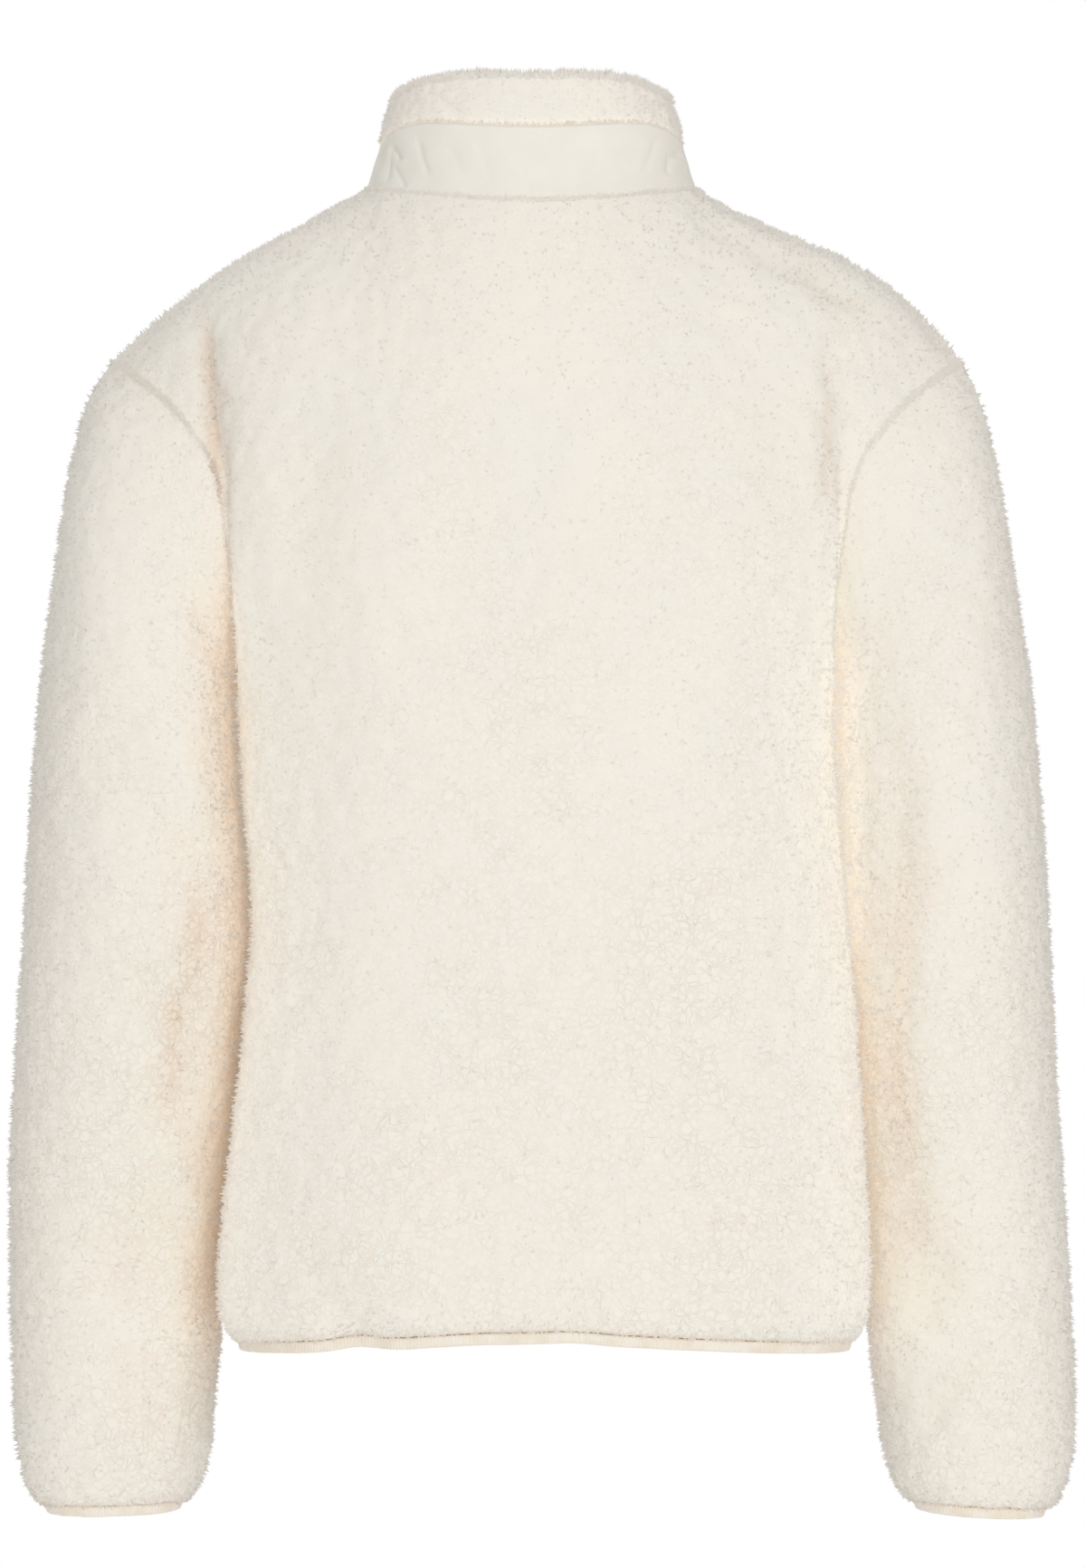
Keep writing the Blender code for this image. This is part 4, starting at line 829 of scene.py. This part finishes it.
SLEEVE_ROWS = np.array([         # inner drop, middle y, half depth; then left and right:
                                 # outer drop, outer x, inner x
    (0.297, 0.001, 0.066, 0.098, 0.2450, 0.1700, 0.099, 0.2440, 0.1665),
    (0.306, 0.003, 0.070, 0.118, 0.2570, 0.1715, 0.120, 0.2530, 0.1680),
    (0.322, 0.006, 0.074, 0.150, 0.2650, 0.1705, 0.152, 0.2600, 0.1690),
    (0.340, 0.008, 0.077, 0.188, 0.2700, 0.1685, 0.190, 0.2655, 0.1700),
    (0.360, 0.009, 0.078, 0.230, 0.2755, 0.1665, 0.232, 0.2715, 0.1710),
    (0.382, 0.008, 0.077, 0.274, 0.2810, 0.1650, 0.276, 0.2780, 0.1725),
    (0.406, 0.006, 0.076, 0.318, 0.2855, 0.1635, 0.320, 0.2825, 0.1745),
    (0.432, 0.003, 0.074, 0.362, 0.2885, 0.1640, 0.364, 0.2860, 0.1770),
    (0.460, -0.001, 0.071, 0.406, 0.2910, 0.1665, 0.408, 0.2890, 0.1795),
    (0.490, -0.006, 0.069, 0.450, 0.2945, 0.1690, 0.452, 0.2915, 0.1815),
    (0.522, -0.012, 0.067, 0.494, 0.2975, 0.1725, 0.496, 0.2940, 0.1835),
    (0.554, -0.018, 0.065, 0.538, 0.3005, 0.1755, 0.540, 0.2970, 0.1855),
    (0.588, -0.024, 0.063, 0.582, 0.3015, 0.1790, 0.584, 0.3005, 0.1875),
    (0.624, -0.029, 0.061, 0.624, 0.3015, 0.1820, 0.626, 0.3035, 0.1890),
    (0.660, -0.034, 0.059, 0.662, 0.3010, 0.1840, 0.664, 0.3060, 0.1915),
    (0.690, -0.038, 0.056, 0.694, 0.3000, 0.1875, 0.696, 0.3070, 0.1955),
    (0.717, -0.040, 0.051, 0.720, 0.2975, 0.1900, 0.722, 0.3055, 0.1995),
    (0.735, -0.041, 0.046, 0.738, 0.2925, 0.1955, 0.740, 0.3000, 0.2060),
    (0.745, -0.041, 0.040, 0.747, 0.2850, 0.2030, 0.749, 0.2930, 0.2140),
])
SLEEVE_FOLDS = {                 # start turn and drop, end turn and drop, half width, depth
    -1: (
        (0.170, 0.170, 0.360, 0.260, 0.0550, 0.0055), (0.305, 0.320, 0.375, 0.460, 0.0500, 0.0090),
        (0.385, 0.470, 0.360, 0.560, 0.0500, 0.0060), (0.370, 0.575, 0.290, 0.630, 0.0550, 0.0060),
        (0.820, 0.340, 0.640, 0.420, 0.0600, 0.0070), (0.660, 0.470, 0.760, 0.560, 0.0550, 0.0055),
        (0.240, 0.380, 0.330, 0.400, 0.0300, 0.0030), (0.260, 0.650, 0.340, 0.700, 0.0350, 0.0030),
    ),
    1: (
        (0.200, 0.300, 0.350, 0.380, 0.0600, 0.0050), (0.370, 0.400, 0.330, 0.520, 0.0500, 0.0065),
        (0.340, 0.570, 0.240, 0.620, 0.0550, 0.0045), (0.830, 0.330, 0.640, 0.410, 0.0600, 0.0070),
        (0.650, 0.480, 0.760, 0.570, 0.0550, 0.0055), (0.260, 0.440, 0.340, 0.470, 0.0300, 0.0030),
        (0.250, 0.655, 0.330, 0.700, 0.0350, 0.0030),
    ),
}


def fuller(wave):
    """A sine or cosine raised to a power below one, which makes a ring squarer."""
    return np.sign(wave) * np.abs(wave) ** (2 / SLEEVE_POWER)


def sleeve_rings(side, turn):
    """Rings from the armhole to the cuff at the given turns: each row of the table is a
    superellipse, tilted from its outer to its inner drop, and the first ones take over
    what is left of the armhole's own shape."""
    v = np.where(turn <= 0.5, 2 * turn, 2 - 2 * turn)
    loop = np.where((turn <= 0.5)[:, None], armhole_seam(v, side, 1), armhole_seam(v, side, -1))
    rings = []
    outwards = (1 + fuller(np.cos(turn * 2 * math.pi))) / 2
    for inner_drop, middle, half_depth, *both in SLEEVE_ROWS:
        outer_drop, outer_x, inner_x = both[:3] if side > 0 else both[3:]
        rings.append(np.stack([side * between(inner_x, outer_x, outwards),
                               middle + half_depth * fuller(np.sin(turn * 2 * math.pi)),
                               -between(inner_drop, outer_drop, outwards)], axis=-1))
    drift = loop - rings[0]
    fade = np.maximum(0.0, 0.75 - 0.25 * np.arange(len(rings)))
    rings = np.array(rings) + fade[:, None, None] * drift
    rings[0] = loop
    return rings


sleeves = {}
for side, name in ((1, "left"), (-1, "right")):
    turn = np.linspace(0, 1, SLEEVE_AROUND, endpoint=False)
    rings = sleeve_rings(side, turn)
    travel = np.linalg.norm(np.diff(rings, axis=0), axis=2).mean(axis=1)
    keys = np.concatenate([[0], np.cumsum(travel)])
    steps = stepped(SLEEVE_DOWN, fine_start=True, fine_end=True)
    smooth_grid = smooth_run(keys, rings, steps * keys[-1])
    rows = np.indices(smooth_grid.shape[:2])[0]
    fade = np.clip(rows / 27 - 0.4, 0, 1) * np.minimum((SLEEVE_DOWN - rows) / 18, 1)
    turns = np.broadcast_to(turn, fade.shape)
    depth = fade * fold_depth(SLEEVE_FOLDS[side], turns, -smooth_grid[..., 2], TURN_LENGTH)
    base = smooth_grid - outward(smooth_grid, -side, ring=True) * depth[..., None]
    normals = outward(base, -side, ring=True)
    start, end = GAP_TURN[side]
    # painted shade and painted glow where the sleeve faces the body, and painted shade in its folds
    towards_body = np.clip((-side * normals[..., 0] - start) / (end - start), 0, 1) ** 1.4
    painted_shade = towards_body * by_height(base, GAP_SHADE[side]) + depth * by_height(base, FOLD_SHADE)
    painted_shade = np.clip(painted_shade, 0, 1)
    lift_and_painted_glow = towards_body * by_height(base, GAP_PAINTED_GLOW[side])
    edges = ((ARMHOLE_ROLL, by_height(base, ARMHOLE_SHADE[side])), (EDGE_ROLL, HEM_SHADE))
    tube, face = sherpa_panel(f"sleeve_{name}_cloth", base, normals, -side, edges,
                              [pile_finish, reverse_finish], painted_shade, lift_and_painted_glow, ring=True)
    stray = fibres(f"sleeve_{name}_fibres", [
        (face, normals, SLEEVE_FIBRES, 0.0035, (0, 0, -0.15), FIBRE_RADIUS),
        (face[:3], normals[:3], 1500, 0.0026, (0, 0, 0.3), FIBRE_RADIUS),
        (face[-6:], normals[[-14] * 6], 1100, 0.0028, (0, 0, -0.9), FIBRE_RADIUS),
    ], glowing_tip_finish, 31 + side)
    for piece in (tube, stray):
        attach(piece, "jacket")
    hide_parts(f"sleeve_{name}")
    sleeves[side] = (base, normals)

# ---------------------------------------------------------------- under collar
# A strip of smooth ivory plain-weave cloth stands up from the neck seam and carries the pile band.
# It is eased in, so it wrinkles softly, most of all at its two back corners.
STAND = np.array([               # height at back, sides and front, share of neckline, squareness
    (0.0000, 0.0000, 0.0000, 1.000, 2.0),
    (0.0100, 0.0080, 0.0100, 0.971, 3.0),
    (0.0240, 0.0170, 0.0210, 0.942, 5.0),
    (0.0405, 0.0265, 0.0340, 0.912, 7.0),
])
WOVEN_COLUMNS = 400
WOVEN_ROWS = 33
WOVEN_WALL = 0.0022
WOVEN_COLOUR = (0.875, 0.848, 0.768)
WOVEN_WARM = (0.862, 0.818, 0.728)
WOVEN_CREASES = (                # start x and height, end x and height, half width, depth
    (0.0835, 0.0275, 0.0785, 0.0190, 0.0016, 0.0022),
    (0.0680, 0.0285, 0.0628, 0.0100, 0.0016, 0.0016),
    (0.0815, 0.0145, 0.0760, 0.0030, 0.0016, 0.0015),
    (0.0840, 0.0260, 0.0860, 0.0080, 0.0020, 0.0015),
    (0.0335, 0.0255, 0.0268, 0.0035, 0.0024, 0.0007),
    (0.0505, 0.0250, 0.0420, 0.0060, 0.0030, 0.0005),
    (0.0140, 0.0250, 0.0060, 0.0040, 0.0036, 0.0004),
    (-0.0665, 0.0295, -0.0600, 0.0115, 0.0018, 0.0010),
    (-0.0731, 0.0115, -0.0741, 0.0205, 0.0016, 0.0017),
    (-0.0738, 0.0205, -0.0800, 0.0240, 0.0016, 0.0017),
    (-0.0300, 0.0260, -0.0340, 0.0060, 0.0036, 0.0004),
)


def collar_grid(table, heights, columns):
    """Collar rows from the wearer's right front round the back to the left front: the
    neckline drawn in to a share of its size and raised, both read off a table.  A height
    falls away towards the sides with a power of the sine, its squareness."""
    theta = np.linspace(0, math.pi, columns // 2 + 1)
    keys = np.linspace(0, 1, len(table))
    back, flank, front, share, power = smooth_run(keys, table, heights).T[:, :, None]
    halves = []
    for side in (-1, 1):
        seam = neckline(theta, side)
        end = np.where(theta <= math.pi / 2, back, front)
        height = flank + (end - flank) * (1 - np.sin(theta) ** power)
        x = NECK_SHIFT + (seam[:, 0] - NECK_SHIFT) * share
        x[:, -1] = seam[-1, 0]
        y = NECK_CENTRE_Y + (seam[:, 1] - NECK_CENTRE_Y) * share
        halves.append(np.stack([x, y, seam[:, 2] + height], axis=-1))
    return np.concatenate([halves[0][:, ::-1], halves[1][:, 1:]], axis=1)


def bar_object(name, rings, finishes, closed=False, tags=None, unroll=None):
    """A closed bar: rings of points round a section, one after another along a path, joined
    by faces, and capped by pairing each ring's two sides where the path doesn't close.  Its
    unrolled map has the given lengths along the path and round the section."""
    count, around = rings.shape[:2]
    index = np.arange(count * around).reshape(count, around)
    index = np.concatenate([index, index[:, :1]], axis=1)
    if closed:
        index = np.concatenate([index, index[:1]])
    faces = quads_of(index).tolist()
    if not closed:
        half = around // 2
        for ring, flip in ((index[0, :-1], False), (index[-1, :-1], True)):
            one, two = ring[:half], ring[::-1][:half]
            cap = np.stack([one[:-1], two[:-1], two[1:], one[1:]], axis=-1)
            faces += (cap[:, ::-1] if flip else cap).tolist()
    item = cloth_object(name, rings.reshape(-1, 3), faces, finishes, tags=tags)
    if unroll is not None:
        unroll = np.stack(np.meshgrid(*unroll, indexing="ij"), axis=-1)
        layer = item.data.uv_layers.new(name="unrolled")
        corner = np.zeros(len(item.data.loops), dtype=np.int32)
        item.data.loops.foreach_get("vertex_index", corner)
        layer.data.foreach_set("uv", unroll.reshape(-1, 2)[corner].astype(np.float32).ravel())
    return item


def add_strands(tree, scale, direction, distortion=0.0):
    """Bands across the unrolled cloth: there are about three to a metre for each unit of
    scale, and distortion bends them."""
    unrolled = add_node(tree, "UVMap", {}, uv_map="unrolled").outputs["UV"]
    inputs = {"Scale": scale, "Distortion": distortion, "Vector": unrolled}
    return add_node(tree, "TexWave", inputs, bands_direction=direction).outputs["Fac"]


woven_finish, tree, shader = new_finish("plain_weave", WOVEN_COLOUR, 0.62, sheen=0.15)
shader.inputs["Specular IOR Level"].default_value = 0.3
threads = [add_strands(tree, 520.0, direction, 0.4) for direction in ("X", "Y")]
add_bump(tree, shader, add_math(tree, "MULTIPLY", *threads), 0.00006)
tint = add_range(tree, add_noise(tree, add_place(tree), 60.0), 0.3, 0.7, 0.0, 1.0)
tree.links.new(add_mix(tree, tint, WOVEN_COLOUR, WOVEN_WARM), shader.inputs["Base Color"])

heights = np.linspace(0, 1, WOVEN_ROWS)
stand_flat = collar_grid(STAND, heights, WOVEN_COLUMNS)
behind = np.clip((stand_flat[..., 1] + 0.02) / 0.02, 0, 1)
dent = fold_depth(WOVEN_CREASES, stand_flat[..., 0], stand_flat[..., 2], sharp=True) * behind
slack = 0.0005 * ripple(stand_flat, 0.022, 14) * np.sin(heights * math.pi)[:, None]
stand_base = stand_flat - outward(stand_flat[::-1], 1)[::-1] * (dent + slack)[..., None]
stand_normals = outward(stand_base[::-1], 1)[::-1]
stand_reverse = stand_base - stand_normals * WOVEN_WALL
rings = np.concatenate([stand_base, stand_reverse[::-1]]).transpose(1, 0, 2)
tall = np.concatenate([heights, heights[::-1]]) * 0.042
collar_woven = bar_object("collar_woven_cloth", rings, [woven_finish],
                          unroll=(run_lengths(stand_base[WOVEN_ROWS // 2]), tall))
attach(collar_woven, "jacket")
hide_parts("collar_woven")

# ---------------------------------------------------------------- collar band
# A band of the same sherpa, deeper in pile, folded over to both faces of the collar's top.
# Its lower edge is sewn to the woven strip, and its pile hangs a little over that seam.
BAND = np.array([
    (0.0405, 0.0265, 0.0340, 0.912, 7.0),
    (0.0500, 0.0345, 0.0440, 0.897, 5.0),
    (0.0600, 0.0435, 0.0560, 0.873, 3.5),
    (0.0670, 0.0500, 0.0640, 0.845, 3.2),
    (0.0700, 0.0540, 0.0670, 0.812, 3.2),
])
BAND_COLUMNS = 256
BAND_WALL = 0.0080
BAND_CROWN = 0.0030              # height of its rounded top
BAND_CURL = 0.18

heights = np.linspace(0, 1, 19)
band_base = collar_grid(BAND, heights, BAND_COLUMNS)
band_normals = outward(band_base[::-1], 1)[::-1]
lower_roll = 0.0015 * np.clip(1 - heights / 0.10, 0, 1)[:, None, None] ** 2
outer = band_base - band_normals * lower_roll
inner = band_base - band_normals * (BAND_WALL - lower_roll)
swing = np.linspace(0, math.pi, 7)[1:-1, None, None]
middle = (outer[-1] + inner[-1]) / 2
upright = unit(outer[-1] - outer[-2]) * BAND_CROWN
crown = middle + (outer[-1] - middle) * np.cos(swing) + upright * np.sin(swing)
loop = np.concatenate([outer, crown, inner[::-1]]).transpose(1, 0, 2)
around = np.concatenate([loop[:, -1:], loop, loop[:, :1]], axis=1)
loop_normals = unit(np.cross((around[:, 2:] - around[:, :-2]), np.gradient(loop, axis=0)))
rise = 0.0012 * clumps(loop, CLUMP * 0.8) - 0.0011
band_face = loop + loop_normals * rise[..., None]
edge_share = np.minimum(np.arange(loop.shape[1]), np.arange(loop.shape[1])[::-1]) + 0 * rise
# painted shade and painted glow along both edges of the band, beside its seam
painted_shade = 0.45 * np.exp(-edge_share / 1.6)
lift_and_painted_glow = 0.30 * np.exp(-edge_share / 1.2)
collar_band = bar_object("collar_band_cloth", band_face, [pile_finish],
                         tags={"curl": BAND_CURL + 0 * rise, "painted_shade": painted_shade, "lift_and_painted_glow": lift_and_painted_glow})
band_grid = np.concatenate([band_face, np.stack([painted_shade, lift_and_painted_glow], axis=-1)], axis=-1)
band_grid = band_grid.transpose(1, 0, 2)
band_ways = loop_normals.transpose(1, 0, 2)
band_fibres = fibres("collar_band_fibres", [
    (band_grid, band_ways, 8000, 0.0028, (0, 0, 0.1), 0.7 * FIBRE_RADIUS),
    (band_grid[14:30], band_ways[14:30], 8000, 0.0044, (0, 0, 0.5), FIBRE_RADIUS),
    (band_grid[:2], band_ways[:2], 2200, 0.0022, (0, 0, -0.9), 0.6 * FIBRE_RADIUS),
], glowing_tip_finish, 41)
for piece in (collar_band, band_fibres):
    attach(piece, "jacket")
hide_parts("collar_band")

# ---------------------------------------------------------------- hem and cuff bindings
# Narrow ribbed elastic, folded over the raw edge of the hem and of each cuff and sewn on.
# It draws the edge in a little, and the pile above hangs over its upper half.
BINDING_HEIGHT = 0.0065
BINDING_WALL = 0.0040
BINDING_INSET = 0.0012
BINDING_HANG = 0.55
BINDING_COLOUR = (0.890, 0.825, 0.725)
BINDING_WARM = (0.85, 0.755, 0.62)
BINDING_SECTION = (              # outwards in half walls, upwards in heights
    (0.80, 0.50), (-0.80, 0.50), (-1.00, 0.35), (-1.00, -0.25), (-0.85, -0.42),
    (-0.45, -0.50), (0.45, -0.50), (0.85, -0.42), (1.00, -0.25), (1.00, 0.35),
)

binding_finish, tree, shader = new_finish("ribbed_elastic", BINDING_COLOUR, 0.7, sheen=0.2)
add_bump(tree, shader, add_strands(tree, 160.0, "X", 1.5), 0.0002)
tint = add_range(tree, add_noise(tree, add_place(tree), 90.0), 0.4, 0.65, 0.0, 1.0)
tree.links.new(add_mix(tree, tint, BINDING_COLOUR, BINDING_WARM), shader.inputs["Base Color"])


def binding(name, node, line, normals, closed=False):
    """Elastic along an edge: a rounded section carried along it, hung between the cloth's
    own slope and straight down, and rucked a little by short ripples."""
    if closed:
        along = np.roll(line, -1, axis=0) - np.roll(line, 1, axis=0)
    else:
        along = np.gradient(line, axis=0)
    upwards = unit(np.cross(along, normals))
    upwards = upwards * np.sign(upwards[:, 2:])
    level = unit(between(upwards, np.array([0.0, 0.0, 1.0]), BINDING_HANG))
    outwards = unit(np.cross(level, along))
    outwards = outwards * np.sign(np.sum(outwards * normals, axis=1, keepdims=True))
    half = BINDING_WALL / 2
    centre = line - normals * (BINDING_INSET + half) - upwards * 0.0003
    centre = centre - level * (BINDING_HEIGHT / 2)
    ruck = 0.00035 * ripple(line, 0.014, 19)[:, None, None]
    section = np.array(BINDING_SECTION)
    rings = (centre[:, None] + outwards[:, None] * (section[:, :1] * half)
             + level[:, None] * (section[:, 1:] * BINDING_HEIGHT) + outwards[:, None] * ruck)
    if np.cross(level[0], outwards[0]) @ along[0] < 0:
        rings = rings[:, ::-1]
    unroll = (run_lengths(line), np.linspace(0, 0.02, len(section)))
    item = bar_object(name, rings, [binding_finish], closed, unroll=unroll)
    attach(item, "jacket")
    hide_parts(node)


hem_line = np.concatenate([fronts[-1][0][-1], back_base[-1, 1:-1], fronts[1][0][-1, ::-1]])
hem_normals = np.concatenate([fronts[-1][1][-1], back_normals[-1, 1:-1], fronts[1][1][-1, ::-1]])
binding("hem_binding_elastic", "hem_binding", hem_line, hem_normals)
for side, name in ((1, "left"), (-1, "right")):
    base, normals = sleeves[side]
    binding(f"cuff_binding_{name}_elastic", f"cuff_binding_{name}", base[-1], normals[-1],
            closed=True)

# ---------------------------------------------------------------- front zip
# A full-length separating zip: two woven tapes sewn behind the front edges, moulded teeth that
# mesh along the middle, and a metal slider near the collar's top with a tab that hangs down.
TAPE_WIDTH = 0.0150
TAPE_WALL = 0.0012
TAPE_GAP = 0.0004
TAPE_BEHIND = 0.0084
TAPE_COLOUR = (0.80, 0.75, 0.65)
TOOTH_PITCH = 0.0028
TOOTH_SIZE = (0.0026, 0.0016, 0.0018)    # across and along the tape, and out of it
TOOTH = ((-0.35, -0.5), (0.75, -0.34), (1.0, -0.5), (1.0, 0.5), (0.75, 0.34), (-0.35, 0.5))
STITCH_PITCH = 0.0034
STITCH_SIZE = (0.0003, 0.0026, 0.0002)
STITCH = ((-1, -0.5), (1, -0.5), (1, 0.5), (-1, 0.5))
TOOTH_COLOUR = (0.86, 0.81, 0.71)
THREAD_COLOUR = (0.84, 0.78, 0.68)
METAL_COLOUR = (0.44, 0.43, 0.41)

tape_finish, tree, shader = new_finish("woven_tape", TAPE_COLOUR, 0.8, sheen=0.1)
add_bump(tree, shader, add_strands(tree, 330.0, "DIAGONAL"), 0.0001)

tooth_finish, tree, shader = new_finish("moulded_teeth", TOOTH_COLOUR, 0.35)
add_bump(tree, shader, add_noise(tree, add_place(tree), 1500.0), 0.00005)

thread_finish, tree, shader = new_finish("sewing_thread", THREAD_COLOUR, 0.6, sheen=0.2)

metal_finish, tree, shader = new_finish("brushed_metal", METAL_COLOUR, 0.32, metallic=1.0)
brushed = add_node(tree, "Mapping", {"Scale": (4.0, 4.0, 0.4), "Vector": add_place(tree)})
strokes = add_noise(tree, brushed.outputs["Vector"], 900.0)
tree.links.new(add_range(tree, strokes, 0.3, 0.7, 0.46, 0.60), shader.inputs["Roughness"])
add_bump(tree, shader, strokes, 0.00003)

tape_lines = {}
for side, name in ((1, "left"), (-1, "right")):
    body, body_normals = fronts[side]
    column = -1 if side > 0 else 0
    edge, square = (
        np.concatenate([front[::-1, 0], stand[1:, column], band[1:10, column]])
        for front, stand, band in ((body, stand_base, band_base),
                                   (body_normals, stand_normals, band_normals)))
    level_x = np.zeros_like(square) + (side, 0, 0)
    level_x = unit(level_x - np.sum(level_x * square, axis=1, keepdims=True) * square)
    near = edge - square * TAPE_BEHIND
    near[:, 0] = side * TAPE_GAP / 2
    far = near + level_x * TAPE_WIDTH
    face_rows = between(near[:, None], far[:, None], np.linspace(0, 1, 7)[None, :, None])
    behind_rows = face_rows - square[:, None] * TAPE_WALL
    rings = np.concatenate([face_rows, behind_rows[:, ::-1]], axis=1)
    if side < 0:
        rings = rings[:, ::-1]
    run = run_lengths(near)
    wide = np.concatenate([np.linspace(0, TAPE_WIDTH, 7)] * 2)
    tape = bar_object(f"zip_tape_{name}_weave", rings, [tape_finish], unroll=(run, wide))
    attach(tape, "jacket")
    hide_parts(f"zip_tape_{name}")
    tape_lines[side] = (near, square, run)


def small_blocks(name, centres, along, out, across, sizes, profile, finish):
    """Many equal small blocks in one mesh: a closed profile of (across, along) points, wide
    at its foot and narrower at its top, set at each centre in that centre's own directions."""
    profile = np.array(profile)
    foot = (centres[:, None] + across[:, None] * profile[:, :1] * sizes[0]
            + along[:, None] * profile[:, 1:] * sizes[1])
    top = (centres[:, None] + across[:, None] * profile[:, :1] * sizes[0] * 0.86
           + along[:, None] * profile[:, 1:] * sizes[1] * 0.72 + out[:, None] * sizes[2])
    count = len(profile)
    points = np.concatenate([foot, top], axis=1)
    first = np.arange(len(centres))[:, None] * 2 * count
    turn = np.arange(count)
    after = (turn + 1) % count
    walls = np.stack([turn, after, after + count, turn + count], axis=-1)
    faces = (first[:, :, None] + walls[None]).reshape(-1, 4).tolist()
    faces += (first + turn[::-1]).tolist() + (first + turn + count).tolist()
    item = cloth_object(name, points.reshape(-1, 3), faces, [finish])
    item.data.shade_flat()
    return item


def on_tape(side, at, offset):
    """Places at running lengths along a tape and an offset from the zip's middle, with the
    directions up the zip, out of it and towards its middle."""
    near, square, run = tape_lines[side]
    spots, out = (np.stack([np.interp(at, run, line[:, axis]) for axis in range(3)], axis=-1)
                  for line in (near, square))
    out = unit(out * (0, 1, 1))
    spots[:, 0] = side * offset
    across = np.zeros_like(spots) - (side, 0, 0)
    return spots + out * 0.0001, np.cross(out, (1.0, 0.0, 0.0)) * side, out, across


for side, name in ((1, "left"), (-1, "right")):
    length = tape_lines[side][2][-1]
    at = np.arange(0.006, length - 0.008, TOOTH_PITCH) + (TOOTH_PITCH / 2 if side > 0 else 0.0)
    teeth = small_blocks(f"zip_teeth_{name}", *on_tape(side, at, 0.0022), TOOTH_SIZE, TOOTH,
                         tooth_finish)
    at = np.arange(0.004, length - 0.004, STITCH_PITCH)
    stitches = small_blocks(f"zip_stitches_{name}", *on_tape(side, at, 0.0050), STITCH_SIZE, STITCH,
                            thread_finish)
    for piece in (teeth, stitches):
        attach(piece, "jacket")

for node, body in (("zip_slider", "jacket"), ("zip_pull_tab", "zip_pull")):
    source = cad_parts[node]
    mesh = source.data.copy()
    mesh.name = node + "_metal"
    mesh.materials.clear()
    mesh.materials.append(metal_finish)
    part = bpy.data.objects.new(node + "_metal", mesh)
    bpy.context.scene.collection.objects.link(part)
    weld = part.modifiers.new("weld", "WELD")
    weld.merge_threshold = 0.00001
    soften = part.modifiers.new("soft_edges", "BEVEL")
    soften.width = 0.00022
    soften.segments = 2
    soften.limit_method = "ANGLE"
    soften.angle_limit = math.radians(35)
    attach(part, body)
    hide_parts(node)
